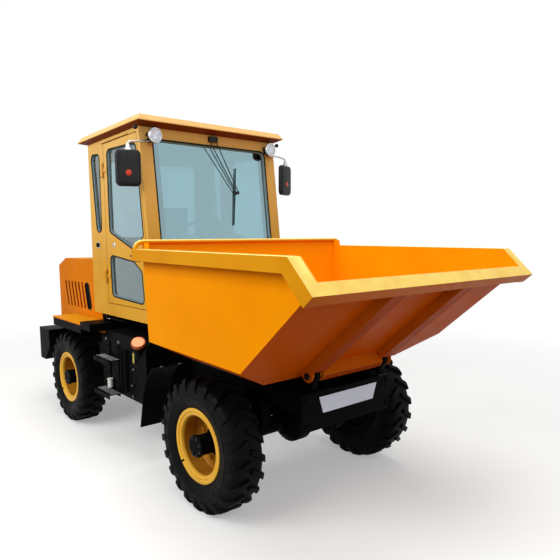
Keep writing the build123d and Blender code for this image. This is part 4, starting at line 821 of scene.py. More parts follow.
# ---------------------------------------------------------------- geometry node trees
class Trees:
    """The node trees that repeat a part in a ring or a row and set bolt heads on points."""

    def __init__(self) -> None:
        """Builds each tree once."""
        self.array = self.array_tree()
        self.bolts = self.bolt_tree()

    @staticmethod
    def started(name: str, inputs: dict[str, str]) -> tuple:
        """A new tree with a geometry input and output and those named inputs.

        Args:
            name: The tree's name.
            inputs: The kinds of its inputs by name, besides the geometry and the material.

        Returns:
            The tree, its input node and its output node.
        """
        tree = bpy.data.node_groups.new(name, "GeometryNodeTree")
        tree.interface.new_socket("Geometry", in_out="INPUT", socket_type="NodeSocketGeometry")
        for label, kind in {**inputs, "Material": "NodeSocketMaterial"}.items():
            tree.interface.new_socket(label, in_out="INPUT", socket_type=kind)
        tree.interface.new_socket("Geometry", in_out="OUTPUT", socket_type="NodeSocketGeometry")
        return tree, tree.nodes.new("NodeGroupInput"), tree.nodes.new("NodeGroupOutput")

    @staticmethod
    def ended(tree: Tree, inputs: dict, start: bpy.types.Node,
              end: bpy.types.Node) -> Tree:
        """Puts the instances on their points, makes them real, gives them their material, ends the tree.

        Args:
            tree: The tree.
            inputs: The points, the instance and its rotation.
            start: The tree's input node.
            end: Its output node.

        Returns:
            The same tree.
        """
        copies = result(tree, "GeometryNodeInstanceOnPoints", None, inputs)
        real = result(tree, "GeometryNodeRealizeInstances", None, {"Geometry": copies})
        inputs = {"Geometry": real, "Material": start.outputs["Material"]}
        done = add_node(tree, "GeometryNodeSetMaterial", None, inputs)
        tree.links.new(done.outputs[0], end.inputs[0])
        return tree

    def array_tree(self) -> Tree:
        """Makes copies of a part, each turned and moved on from the last.

        Returns:
            The tree.
        """
        tree, start, end = self.started("repeated_part", {
            "Count": "NodeSocketInt", "Turn": "NodeSocketVector", "Move": "NodeSocketVector",
            "Centre": "NodeSocketVector",
        })
        index = result(tree, "GeometryNodeInputIndex")
        scaled = {}
        for label in ("Turn", "Move"):
            inputs = {0: start.outputs[label], "Scale": index}
            scaled[label] = result(tree, "ShaderNodeVectorMath", {"operation": "SCALE"}, inputs)
        inputs = {0: scaled["Move"], 1: start.outputs["Centre"]}
        place = result(tree, "ShaderNodeVectorMath", {"operation": "ADD"}, inputs)
        inputs = {"Count": start.outputs["Count"], "Position": place}
        points = result(tree, "GeometryNodePoints", None, inputs)
        turn = result(tree, "FunctionNodeEulerToRotation", None, {0: scaled["Turn"]})
        inputs = {"Points": points, "Instance": start.outputs["Geometry"], "Rotation": turn}
        return self.ended(tree, inputs, start, end)

    def bolt_tree(self) -> Tree:
        """Stands hexagon heads on washers on points, along each point's "way".

        Returns:
            The tree.
        """
        tree, start, end = self.started("bolt_heads", {
            "Size": "NodeSocketFloat", "Height": "NodeSocketFloat", "Washer": "NodeSocketFloat",
        })

        def half(label: str) -> Socket:
            """Half of an input."""
            inputs = {0: start.outputs[label], 1: 0.5}
            return result(tree, "ShaderNodeMath", {"operation": "MULTIPLY"}, inputs)

        inputs = {"Vertices": 6, "Radius": half("Size"), "Depth": start.outputs["Height"]}
        head = result(tree, "GeometryNodeMeshCylinder", None, inputs)
        inputs = {"Vertices": 20, "Radius": start.outputs["Washer"], "Depth": half("Height")}
        disc = result(tree, "GeometryNodeMeshCylinder", None, inputs)
        lift = result(tree, "ShaderNodeCombineXYZ", None, {2: half("Height")})
        inputs = {"Geometry": head, "Translation": lift}
        head = result(tree, "GeometryNodeTransform", None, inputs)
        both = tree.nodes.new("GeometryNodeJoinGeometry")
        for part in (head, disc):
            tree.links.new(part, both.inputs[0])
        settings = {"data_type": "FLOAT_VECTOR"}
        way = result(tree, "GeometryNodeInputNamedAttribute", settings, {"Name": "way"})
        turn = result(tree, "FunctionNodeAlignRotationToVector", {"axis": "Z"}, {"Vector": way})
        inputs = {"Points": start.outputs["Geometry"], "Instance": both.outputs[0], "Rotation": turn}
        return self.ended(tree, inputs, start, end)

    @staticmethod
    def grown(piece: Piece, tree: Tree, values: dict[str, object]) -> None:
        """Runs a tree on a piece, which gets a plain mesh.

        Args:
            piece: The object whose mesh goes in.
            tree: The tree.
            values: The inputs by name, set by their sockets' identifiers.
        """
        modifier = piece.modifiers.new("grown", "NODES")
        modifier.node_group = tree
        for item in tree.interface.items_tree:
            if item.in_out == "INPUT" and item.name in values:
                modifier[item.identifier] = values[item.name]
        baked(piece)


class Workshop:
    """What every sub-assembly needs: the CAD nodes, the finishes, and the ways to make and place a piece."""

    def __init__(self, frame: dict) -> None:
        """Keeps the frame's nodes, and builds the finishes and the node trees.
        """
        self.nodes = frame["nodes"]
        self.palette = {key: finish.material() for key, finish in FINISHES.items()}
        self.trees = Trees()

    def place(self, piece: Piece, slot: Slot, body: str = "chassis", replaced: str = "") -> None:
        """Makes a piece ride on a body and stand for a CAD node, and reports it.

        Args:
            piece: The finished piece.
            slot: Its material slot; not used.
            body: What it rides on.
            replaced: The CAD node that it stands for.
        """
        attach(piece, body)
        if replaced:
            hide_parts(replaced)
        LOG.info("%s on %s: %d faces", piece.name, body, len(piece.data.polygons))

    def add(self, name: str, shape: Shape, key: str, slot: Slot, width_mm: float = 0.0,
            segments: int = 2, body: str = "chassis", replaced: str = "",
            smooth_below: float = SMOOTH_BELOW) -> None:
        """Makes a piece of a shape and places it.

        Args:
            name: The piece's name.
            shape: Its shape.
            key: Its finish.
            slot: Its material slot.
            width_mm: The rounding of its hard edges, none if zero.
            segments: Steps across the rounding.
            body: What it rides on.
            replaced: The CAD node that it stands for.
            smooth_below: Edges flatter than this are shaded smooth.
        """
        piece = finished(name, shape, self.palette[key], smooth_below)
        if width_mm > 0.0:
            rounded(piece, width_mm, segments)
        self.place(piece, slot, body, replaced)

    def row(self, name: str, shape: Shape, key: str, slot: Slot, count: int,
            move: Point = ORIGIN, turn: Point = ORIGIN, centre: Point = ORIGIN, width_mm: float = 0.0,
            body: str = "chassis") -> None:
        """Makes a row or a ring of one shape and places it.

        Args:
            name: The piece's name.
            shape: The shape that repeats.
            key: Its finish.
            slot: Its material slot.
            count: How many.
            move: From one to the next, in metres.
            turn: From one to the next, in radians.
            centre: Where the shape's origin goes.
            width_mm: The rounding of its hard edges, none if zero.
            body: What it rides on.
        """
        piece = finished(name, shape, self.palette[key])
        if width_mm > 0.0:
            rounded(piece, width_mm)
        self.trees.grown(piece, self.trees.array, {
            "Count": count, "Move": move, "Turn": turn, "Centre": centre, "Material": self.palette[key],
        })
        self.place(piece, slot, body)

    def bolts(self, name: str, spots: list[tuple], size_mm: float, height_mm: float, key: str, slot: Slot,
              body: str = "chassis") -> None:
        """Places bolt heads on washers.

        Args:
            name: The piece's name.
            spots: Pairs of a place in metres and the way that the head faces.
            size_mm: Across the corners.
            height_mm: The head's height.
            key: Its finish.
            slot: Its material slot.
            body: What it rides on.
        """
        mesh = bpy.data.meshes.new(name)
        mesh.from_pydata([place for place, _ in spots], [], [])
        ways = mesh.attributes.new("way", "FLOAT_VECTOR", "POINT")
        for entry, (_, way) in zip(ways.data, spots):
            entry.vector = way
        piece = object_from(name, mesh)
        self.trees.grown(piece, self.trees.bolts, {
            "Size": size_mm * MM, "Height": height_mm * MM, "Washer": WASHER * size_mm * MM,
            "Material": self.palette[key],
        })
        piece.data.set_sharp_from_angle(angle=SMOOTH_BELOW)
        self.place(piece, slot, body)


# ---------------------------------------------------------------- wheels
@dataclass
class Wheel:
    """One wheel: split lock-ring rim, deep disc, bolted hub and lug tyre. Sizes in millimetres."""

    shop: Workshop
    axle: str
    hand: str
    side: float
    rim_steps: int = 120
    hub_steps: int = 64
    tyre_steps: int = 132
    lugs: int = 22
    nuts: tuple = (8, 128.0, -46.0)         # how many, their circle's radius, where they stand
    hub_bolts: tuple = (8, 57.0, 109.0)
    ring_gap: float = 1.8                   # degrees each side of the lock ring's split
    ring_split: float = 222.0

    def __post_init__(self) -> None:
        """Names its body and its tyre's CAD node, and finds its middle."""
        self.body = f"{self.axle}_wheel_{self.hand}"
        self.node = f"{self.axle}_tyre_{self.hand}"
        low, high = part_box(self.node)
        self.centre = tuple((a + b) / 2.0 for a, b in zip(low, high))

    def build(self) -> None:
        """Builds the wheel round its own hub."""
        self.rim()
        self.hub()
        self.tyre()

    def turn(self, outline: Outline, *steps: float) -> Shape:
        """Turns an outline about the wheel's axle; the steps are those of turned."""
        return turned(outline, self.centre, self.side, *steps)

    def add(self, name: str, shape: Shape, key: str, slot: Slot, width: float = 0.0,
            replaced: str = "") -> None:
        """Adds a piece that turns with the wheel."""
        self.shop.add(name, shape, key, slot, width, body=self.body, replaced=replaced)

    def rim(self) -> None:
        """The welded barrel and disc, its inner side near-black as painted shade with mud, and the split lock
        ring outside it.
        """
        parts = (
            # name, finish, outline as radius and width
            ("barrel", "wheel_deep", [
                (202.5, -50.0), (202.5, 68.0), (193.0, 70.0), (194.0, 58.0), (196.0, 52.0), (196.0, -36.0),
                (188.0, -45.0), (150.0, -49.0), (118.0, -47.0), (96.0, -41.0), (60.0, -41.0), (60.0, -52.0),
                (100.0, -52.0), (150.0, -59.0), (186.0, -55.0), (194.0, -50.0),
            ]),
            ("gutter", "wheel", [
                (203.0, 67.5), (203.0, 78.0), (206.0, 88.0), (214.0, 90.0), (214.0, 95.0), (204.0, 96.5),
                (195.0, 92.0), (190.5, 84.0), (190.5, 71.0), (193.0, 67.5),
            ]),
            ("back", "wheel_back", [
                (194.0, -98.0), (200.0, -103.0), (236.0, -103.0), (242.0, -99.0), (241.0, -93.0),
                (206.0, -92.0), (202.5, -86.0), (202.5, -50.5), (194.5, -50.5), (186.0, -55.5),
                (150.0, -59.5), (100.0, -52.5), (60.0, -52.5), (60.0, -56.0), (100.0, -56.0),
                (150.0, -63.0), (186.0, -59.0), (194.0, -55.0),
            ]),
        )
        for name, key, outline in parts:
            replaced = self.body if name == "barrel" else ""
            shape = self.turn(outline, self.rim_steps)
            self.add(f"{self.body}_{name}", shape, key, Slot.WHEEL, 1.2, replaced)
        lock = self.turn([
            (215.5, 90.5), (241.0, 92.5), (242.2, 97.0), (240.0, 101.5), (234.0, 103.0), (226.0, 102.4),
            (218.0, 100.0), (214.6, 97.5), (214.6, 92.0),
        ], self.rim_steps, self.ring_split + self.ring_gap, 360.0 - 2.0 * self.ring_gap)
        self.add(f"{self.body}_lock_ring", lock, "wheel", Slot.WHEEL, 0.8)
        nuts = self.circle(*self.nuts)
        self.shop.bolts(f"{self.body}_nuts", nuts, 34.0, 16.0, "wheel_deep", Slot.WHEEL, self.body)

    def circle(self, count: int, radius: float, width: float) -> list[tuple]:
        """A circle of bolts that face outwards.

        Args:
            count: How many.
            radius: The circle's radius.
            width: How far out of the wheel's middle plane they stand.

        Returns:
            Pairs of a place and a way.
        """
        x, y, z = self.centre
        spots = []
        for k in range(count):
            angle = 2.0 * math.pi * (k + 0.5) / count
            place = (x + radius * MM * math.cos(angle), y + self.side * width * MM,
                     z + radius * MM * math.sin(angle))
            spots.append((place, (0.0, self.side, 0.0)))
        return spots

    def hub(self) -> None:
        """The cast planetary hub, with its ring of bolts and its plug."""
        hub = self.turn([
            (0.0, -50.0), (92.0, -50.0), (92.0, -38.0), (84.0, -34.0), (72.0, -30.0), (69.0, -20.0),
            (66.5, 20.0), (66.5, 92.0), (72.0, 94.0), (72.0, 108.0), (69.5, 110.5), (42.0, 111.5),
            (38.0, 116.0), (0.0, 117.0),
        ], self.hub_steps)
        bmesh.ops.remove_doubles(hub, verts=hub.verts, dist=WELD)
        self.add(f"{self.body}_hub", hub, "frame", Slot.FRAME, 1.0)
        bolts = self.circle(*self.hub_bolts)
        self.shop.bolts(f"{self.body}_hub_bolts", bolts, 20.0, 11.0, "frame_worn", Slot.FRAME, self.body)

    def tyre(self) -> None:
        """The carcass with two rings of chevron lugs that wrap the shoulders."""
        half = [
            # radius, width, from the bead to the crown
            (203.5, 70.0), (204.0, 90.0), (222.0, 91.5), (246.0, 95.0), (262.0, 106.0), (285.0, 114.5),
            (312.0, 119.0), (316.0, 120.6), (320.0, 119.2), (345.0, 120.0), (370.0, 117.0), (390.0, 110.0),
            (404.0, 98.0), (410.5, 80.0), (413.0, 40.0),
        ]
        outline = half + [(413.5, 0.0)] + [(r, -w) for r, w in reversed(half)]
        carcass = self.turn(outline, self.tyre_steps)
        self.add(f"{self.node}_carcass", carcass, "tyre", Slot.TYRE, replaced=self.node)
        step = 2.0 * math.pi / self.lugs
        for ring, hand in (("outer", 1.0), ("inner", -1.0)):
            lug = self.lug(self.side * hand)
            lug.transform(Matrix.Rotation(-hand * step / 4.0, 4, "Y"))
            self.shop.row(f"{self.node}_{ring}_lugs", lug, "tyre", Slot.TYRE, self.lugs,
                          turn=(0.0, step, 0.0), centre=self.centre, width_mm=2.2, body=self.body)

    @staticmethod
    def lug(side: float) -> Shape:
        """One lug, from near the crown's middle out over the shoulder to the sidewall.

        Args:
            side: 1 if it reaches to the left, -1 if to the right.

        Returns:
            The lug at the foot of a wheel about the origin.
        """
        crown = 431.0
        foot = 6.0                          # how much wider a lug's root is, each side
        table = (
            # tip radius, tip width, root radius, root width, along the tread, half-width of the tip
            (431.0, 5.0, 405.0, 5.0, 37.0, 13.0),
            (431.5, 30.0, 405.0, 30.0, 27.0, 16.0),
            (431.5, 62.0, 404.0, 62.0, 8.0, 18.5),
            (430.0, 88.0, 400.0, 84.0, -11.0, 20.5),
            (424.0, 106.0, 392.0, 98.0, -25.0, 22.0),
            (407.0, 119.5, 382.0, 106.0, -34.0, 22.5),
            (384.0, 124.0, 368.0, 110.0, -38.0, 21.0),
            (352.0, 124.0, 348.0, 112.0, -40.0, 17.0),
        )
        sections = []
        for tip_r, tip_w, root_r, root_w, along, half in table:
            section = []
            for r, w, offset in ((root_r, root_w, -half - foot), (tip_r, tip_w, -half), (tip_r, tip_w, half),
                                 (root_r, root_w, half + foot)):
                angle = (along + offset) / crown
                section.append((r * MM * math.sin(angle), side * w * MM, -r * MM * math.cos(angle)))
            sections.append(section)
        return lofted(sections)


# ---------------------------------------------------------------- panels
@dataclass
class PlainPanels:
    """Every rigid CAD node whose form is kept: each gets its rolled or ground edges."""

    shop: Workshop
    same: float = 0.01 * MM             # points of the tessellation closer than this are one
    flat: float = math.radians(0.4)     # faces that meet flatter than this become one
    groups: tuple = (
        # finish, slot, body, each node's rounding in millimetres
        ("skip", Slot.SKIP, "skip", {"skip_body": 1.5, "skip_ram_bracket": 1.5}),
        ("rim", Slot.SKIP, "skip", {"skip_rim": 11.0}),
        ("rib", Slot.SKIP, "skip", {"skip_ribs": 2.0}),
        ("cab", Slot.CAB, "chassis", {"cab_shell": 4.0}),
        ("roof", Slot.CAB, "chassis", {"cab_roof": 2.5}),
        ("cab", Slot.CAB, "door_l", {"door_l": 2.5}),
        ("cab", Slot.CAB, "door_r", {"door_r": 2.5}),
        ("hood", Slot.HOOD, "hood", {"hood": 2.0}),
        ("hood", Slot.HOOD, "chassis", {"rear_fender_l": 2.0, "rear_fender_r": 2.0}),
        ("frame", Slot.FRAME, "hood", {"hood_vents": 0.0}),
        ("frame", Slot.FRAME, "chassis", {
            "fender_skirts": 2.0, "chassis": 2.0, "front_panel": 3.0, "front_axle": 2.0, "rear_axle": 2.0,
            "driveline": 4.0, "rear_bumper": 8.0, "side_tank_l": 12.0, "side_tank_r": 12.0, "steps_l": 1.0,
            "steps_r": 1.0, "seat_base": 4.0,
        }),
        ("frame", Slot.FRAME, "knuckle_l", {"knuckle_l": 2.0}),
        ("frame", Slot.FRAME, "knuckle_r", {"knuckle_r": 2.0}),
        ("frame", Slot.FRAME, "ram_barrel", {"ram_barrel": 1.5}),
        ("plate", Slot.PLATE, "chassis", {"name_plate": 0.8}),
        ("guard", Slot.GUARD, "chassis", {"front_guard_l": 1.0, "front_guard_r": 1.0}),
        ("console", Slot.CONSOLE, "chassis", {"cab_console": 6.0, "steering_wheel": 0.0}),
        ("steel", Slot.STEEL, "steer_rod", {"steer_rod": 1.0}),
        ("chrome", Slot.CHROME, "ram_rod", {"ram_rod": 1.0}),
        ("screen", Slot.GLASS, "chassis", {"screen_glass": 0.5}),
        ("glass", Slot.GLASS, "chassis", {"rear_glass": 0.5, "quarter_glass": 0.5}),
        ("glass", Slot.GLASS, "door_l", {"door_glass_l": 0.5}),
        ("glass", Slot.GLASS, "door_r", {"door_glass_r": 0.5}),
    )

    def build(self) -> None:
        """Builds a rounded copy of each node's form, which stands for it."""
        for key, slot, body, widths in self.groups:
            for node, width in widths.items():
                shape = bmesh.new()
                shape.from_mesh(self.shop.nodes[node].data)
                bmesh.ops.remove_doubles(shape, verts=shape.verts, dist=self.same)
                bmesh.ops.dissolve_limit(shape, angle_limit=self.flat, verts=shape.verts, edges=shape.edges,
                                         use_dissolve_boundaries=False)
                self.shop.add(f"{node}_panel", shape, key, slot, width, body=body, replaced=node)


# ---------------------------------------------------------------- cab
@dataclass
class CabFace:
    """The cab's raked front, which the screen, the wiper and the lamps follow. Sizes in millimetres."""

    foot_x: float = 205.0
    foot_z: float = 1090.0
    rake: float = 0.1229

    def at(self, across: float, up: float, out: float = 0.0) -> Point:
        """Finds a point on the front, or out of it.

        Args:
            across: How far left of the middle.
            up: Its height over the floor.
            out: How far out of the front.

        Returns:
            The point in metres.
        """
        slant = math.hypot(1.0, self.rake)
        x = self.foot_x - self.rake * (up - self.foot_z)
        return ((x + out / slant) * MM, across * MM, (up + out * self.rake / slant) * MM)


@dataclass
class Seals:
    """The rubber beads and the silicone bedding that hold each pane, and the screen's black bands."""

    shop: Workshop
    face: CabFace
    side: float = 670.0
    rear: float = -941.0
    panes: tuple = (
        # name, what it rides on, corners as (along, up), in millimetres
        ("quarter", "chassis", ((-883.0, 2489.0), (-707.0, 2474.0), (-711.0, 1814.0), (-807.0, 1816.0))),
        ("door_high", "door", ((-552.0, 2489.0), (-547.0, 1810.0), (-133.0, 1667.0), (49.0, 1760.0),
                               (-36.0, 2470.0))),
        ("door_low", "door", ((-555.0, 1615.0), (-537.0, 1263.0), (36.0, 1236.0), (5.0, 1491.0),
                              (-124.0, 1565.0))),
    )
    rear_pane: tuple = ((-470.0, 1760.0), (470.0, 1760.0), (470.0, 2470.0), (-470.0, 2470.0))
    screen: tuple = ((-560.0, 1560.0), (560.0, 1560.0), (560.0, 2496.0), (-560.0, 2496.0))

    def seal(self, name: str, body: str, corners: tuple, sizes: tuple, place: Callable) -> None:
        """Runs the bead and the bedding round one opening.

        Args:
            name: The opening's name.
            body: What it rides on.
            corners: The opening's corners.
            sizes: Its corners' radius, how deep the pane lies, and the bedding's width.
            place: A function from (along, across, up) to a point in metres.
        """
        radius, depth, lip = sizes
        bead = [(-4.0, -4.0), (-4.6, 1.2), (-2.0, 3.8), (2.0, 4.4), (5.6, 3.2), (6.6, 0.3), (0.0, 0.3),
                (-0.8, -4.0)]
        fillet = [(-lip, 0.6 - depth), (1.0 - lip, 2.6 - depth), (-4.2, -2.5), (-0.8, -3.5),
                  (-1.0, 0.6 - depth)]
        for key, section in (("seal", bead), ("bedding", fillet)):
            shape = framed(round_corners(list(corners), radius, 8), section, place)
            self.shop.add(f"{name}_{key}", shape, key, Slot.GLASS, body=body, smooth_below=SOFT_BELOW)

    def behind(self, across: float, up: float, out: float) -> Point:
        """A point on the cab's rear wall, or that far out of it, in metres."""
        return ((self.rear - out) * MM, across * MM, up * MM)

    def build(self) -> None:
        """Builds all the seals."""
        for hand, side in SIDES:
            for name, body, corners in self.panes:
                body = f"door_{hand}" if body == "door" else body
                self.seal(f"{name}_{hand}", body, corners, (45.0, 16.0, 9.0), flank(self.side, side))
        self.seal("rear", "chassis", self.rear_pane, (50.0, 23.0, 10.0), self.behind)
        self.seal("screen", "chassis", self.screen, (50.0, 21.5, 12.0), self.face.at)
        for hand, side in SIDES:
            # a black fired-on band inside the pane, over the post
            section = ((552.0, -28.2), (552.0, -29.4), (500.0, -29.4), (500.0, -28.2))
            band = lofted([[self.face.at(side * across, up, out) for across, out in section]
                           for up in (1572.0, 2484.0)])
            self.shop.add(f"screen_band_{hand}", band, "seal", Slot.GLASS, smooth_below=SOFT_BELOW)


@dataclass
class Wiper:
    """The screen's wiper: motor, two parallel arms and a long blade. Sizes in millimetres."""

    shop: Workshop
    face: CabFace
    motor: tuple[float, float] = (-2.0, 2545.0)
    joint: tuple[float, float] = (226.0, 2126.0)
    blade: tuple = ((234.0, 2336.0), (166.0, 1854.0))
    way: Point = (1.0, 0.0, 0.12)       # out of the screen

    def build(self) -> None:
        """Builds the wiper on the screen."""
        at = self.face.at
        y, z = self.motor
        low, high = at(y - 42.0, z - 20.0), at(y + 42.0, z + 24.0)
        motor = slab((low[0] - 0.004, low[1], low[2]), (low[0] + 0.034, high[1], high[2]))
        self.part("wiper_motor", motor, 7.0, 3)
        for name, across in (("left", -32.0), ("right", 30.0)):
            foot = (self.joint[0] + across * 0.28, self.joint[1] + across * 0.2)
            rod = tube([at(y + across, z - 14.0, 30.0), at(y + across, z - 40.0, 30.0), at(*foot, -2.0)],
                       4.0, 10, 20.0)
            boss = lathe([(0, 0), (9, 0), (9, 8), (6, 11), (0, 11)], 20, self.way,
                         at(y + across, z - 14.0, 24.0))
            self.part(f"wiper_{name}_arm", joined(rod, boss))
        (y0, z0), (y1, z1) = self.blade
        middle = at((y0 + y1) / 2, (z0 + z1) / 2, -6.0)
        self.part("wiper_spine", tube([at(y0, z0, -11.0), middle, at(y1, z1, -11.0)], 3.2, 8, 60.0))
        section = ((-2.6, -11.0), (2.6, -11.0), (1.0, -20.5), (-1.0, -20.5))
        rubber = lofted([[at(y + a, z, b) for a, b in section] for y, z in self.blade])
        self.part("wiper_rubber", rubber, key="seal")
        clip = faced(slab((-0.017, -0.006, -0.012), (0.017, 0.008, 0.012)), self.way, at(*self.joint, -4.0))
        self.part("wiper_clip", clip, 2.0)

    def part(self, name: str, shape: Shape, width: float = 0.0, segments: int = 2,
             key: str = "console") -> None:
        """Places one part of the wiper."""
        self.shop.add(name, shape, key, Slot.CONSOLE, width, segments)


@dataclass
class Lamps:
    """The two round work lamps: pressed black bowl, plated reflector and bezel, bulb and domed lens."""

    shop: Workshop
    across: float = 0.575
    depth: float = 0.060
    steps: int = 56
    parts: tuple = (
        # name, finish, outline as radius and width from the can's back, in millimetres
        ("bowl", "console", ((0, 2), (16, 2), (26, 5), (41, 17), (51, 34), (54, 44), (54, 47), (51, 45),
                             (48, 35), (38, 19), (24, 8), (0, 6))),
        ("reflector", "chrome", ((0, 8), (24, 11), (37, 21), (46, 35), (49.5, 46), (48, 46.5), (44.5, 36.5),
                                 (36, 24), (23, 14), (0, 11))),
        ("bezel", "chrome", ((49, 44), (55, 44), (57, 47), (57, 54), (54.5, 58), (50, 57.5), (49, 54))),
        ("bulb", "glass", ((0, 12), (6, 12), (6.5, 20), (9, 26), (7.5, 32), (3, 35), (0, 35.5))),
        ("lens", "lens", ((0, 58.5), (30, 57), (50, 52.5), (50, 49.5), (30, 54), (0, 55.5))),
    )

    def build(self) -> None:
        """Builds both lamps in the place of their CAD cans."""
        low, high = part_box("work_lamps")
        for hand, side in SIDES:
            x, y, z = high[0] - self.depth, side * self.across, (low[2] + high[2]) / 2.0
            for name, key, outline in self.parts:
                shape = lathe(outline, self.steps, (1, 0, 0), (x, y, z))
                replaced = "work_lamps" if (name, hand) == ("bowl", "l") else ""
                self.shop.add(f"lamp_{hand}_{name}", shape, key, Slot.LAMP, replaced=replaced)
            bracket = joined(
                tube([(x - 0.022, y, z), (x + 0.006, y, z)], 13.0, 20),
                slab((x - 0.024, y - 0.022, z - 0.030), (x - 0.016, y + 0.022, z + 0.030)),
                tube([(x + 0.02, y + side * 0.052, z + 0.02), (x - 0.012, y + side * 0.045, z)], 5.0, 12),
            )
            self.shop.add(f"lamp_{hand}_bracket", bracket, "console", Slot.LAMP, 1.0)


@dataclass
class Mirrors:
    """Both mirrors: domed shell, flat glass, plated stay and clamp, and a round reflector. Millimetres."""

    shop: Workshop
    place: Point = (66.0, 788.0, 2262.0)
    half: tuple[float, float] = (95.0, 132.5)
    corner: float = 36.0
    turn: float = 19.0                  # degrees, the glass looks inwards
    stay: tuple = ((40.0, 596.0, 2478.0), (70.0, 700.0, 2462.0), (66.0, 788.0, 2450.0), (66.0, 788.0, 2388.0))
    dome: tuple = (
        # depth, inset
        (-16.0, 13.0), (-19.0, 11.5), (-20.0, 8.0), (-19.6, 4.0), (-17.0, 1.0), (-12.0, 0.0),
        (2.0, 1.0), (10.0, 4.0), (15.5, 10.0), (18.6, 21.0), (20.0, 40.0),
    )
    badge: tuple = ((0, -4), (20, -4), (22, -2), (22, 1.0), (19, 2.6), (0, 3.6))

    def rings(self, steps: tuple) -> Shape:
        """A form through rounded rectangles at (depth, inset) steps, across the mirror's own X.

        Args:
            steps: Pairs of a depth and an inset from the mirror's outline.

        Returns:
            A closed shape about the mirror's own middle.
        """
        sections = []
        for depth, inset in steps:
            y, z = self.half[0] - inset, self.half[1] - inset
            radius = max(4.0, self.corner - 0.5 * inset)
            outline = round_corners([(-y, -z), (y, -z), (y, z), (-y, z)], radius, 8)
            sections.append([(depth * MM, a * MM, b * MM) for a, b in outline])
        return lofted(sections)

    def build(self) -> None:
        """Builds both mirrors."""
        for hand, side in SIDES:
            x, y, z = (v * MM for v in self.place)
            turn = Matrix.Rotation(math.radians(side * self.turn), 4, "Z")
            put = Matrix.Translation((x, side * y, z)) @ turn
            clamp = joined(slab((-0.016, -0.021, 0.126), (0.016, 0.021, 0.142)),
                           slab((-0.011, -0.013, 0.138), (0.011, 0.013, 0.168)))
            for name, key, shape, width in (
                ("shell", "mirror", self.rings(self.dome), 0.0),
                ("glass", "mirror_glass", self.rings(((-17.6, 13.5), (-16.2, 13.5))), 0.0),
                ("reflector", "reflector", lathe(self.badge, 36, (1, 0, 0), (0.0192, 0.0, -0.036)), 0.0),
                ("clamp", "steel", clamp, 4.0),
            ):
                shape.transform(put)
                replaced = "mirrors" if (name, hand) == ("shell", "l") else ""
                self.shop.add(f"mirror_{hand}_{name}", shape, key, Slot.MIRROR, width, 3, replaced=replaced)
            points = [(a * MM, side * b * MM, c * MM) for a, b, c in self.stay]
            self.shop.add(f"mirror_{hand}_stay", tube(points, 8.0, 16, 28.0), "steel", Slot.MIRROR)
            foot = slab((0.030, side * 0.596 - 0.020, 2.466), (0.046, side * 0.596 + 0.020, 2.490))
            self.shop.add(f"mirror_{hand}_foot", foot, "console", Slot.MIRROR, 3.0)


@dataclass
class CabFittings:
    """What is screwed to the cab's sides: rain strips, handles, hold-open catches, corner knobs. Metres."""

    shop: Workshop
    half: float = 0.670
    proud: float = 0.005                # the plates' thickness
    knobs: tuple = (
        # name, finish, slot, on the door, outline in millimetres, place as (along, up, outwards)
        ("door_knob", "steel", Slot.STEEL, True, ((0, 0), (21, 0), (21, 3), (17, 6), (11, 7), (10, 15),
                                                  (0, 16)), (-0.472, 1.700, 0.0)),
        ("catch_cup", "seal", Slot.CONSOLE, False, ((0, 0), (20, 0), (20, 12), (17, 16), (12, 16), (10, 9),
                                                    (0, 9)), (-0.785, 1.700, 0.004)),
        ("corner_knob", "mirror", Slot.CONSOLE, False, ((0, 0), (9, 0), (9, 6), (15, 10), (17, 18), (15, 26),
                                                        (9, 31), (0, 32)), (0.040, 2.566, 0.020)),
    )

    def build(self) -> None:
        """Builds the fittings of both sides."""
        for hand, side in SIDES:
            at = flank(self.half, side, 1.0)
            door = f"door_{hand}"
            section = ((0.0, -0.001), (0.014, -0.001), (0.014, 0.004), (0.006, 0.011), (0.0, 0.011))
            strip = lofted([[at(x, 2.553 + z, out) for z, out in section] for x in (-0.655, -0.16)])
            self.shop.add(f"rain_strip_{hand}", strip, "cab", Slot.CAB, 1.0)
            plate = self.plate(at, (-0.122, -0.006), (1.568, 1.642))
            self.shop.add(f"handle_plate_{hand}", plate, "console", Slot.CONSOLE, 4.0, body=door)
            lever = tube([at(-0.020, 1.606, 0.004), at(-0.020, 1.606, 0.030), at(-0.118, 1.614, 0.030)],
                         7.5, 14, 9.0)
            self.shop.add(f"handle_lever_{hand}", lever, "console", Slot.CONSOLE, body=door)
            for name, key, slot, moves, outline, place in self.knobs:
                shape = lathe(outline, 32, (0.0, side, 0.0), at(*place))
                self.shop.add(f"{name}_{hand}", shape, key, slot, body=door if moves else "chassis")
            base = self.plate(at, (-0.813, -0.757), (1.672, 1.728))
            self.shop.add(f"catch_plate_{hand}", base, "steel", Slot.STEEL, 1.5)
            places = [at(x, z, self.proud) for x in (-0.805, -0.765) for z in (1.680, 1.720)]
            bolts = [(place, (0.0, side, 0.0)) for place in places]
            self.shop.bolts(f"catch_bolts_{hand}", bolts, 9.0, 3.0, "steel", Slot.STEEL)

    def plate(self, at: Callable, along: tuple, up: tuple) -> Shape:
        """A flat plate on the cab's side, between two places along it and two heights."""
        section = ((up[0], 0.0), (up[1], 0.0), (up[1], self.proud), (up[0], self.proud))
        return lofted([[at(x, z, out) for z, out in section] for x in along])


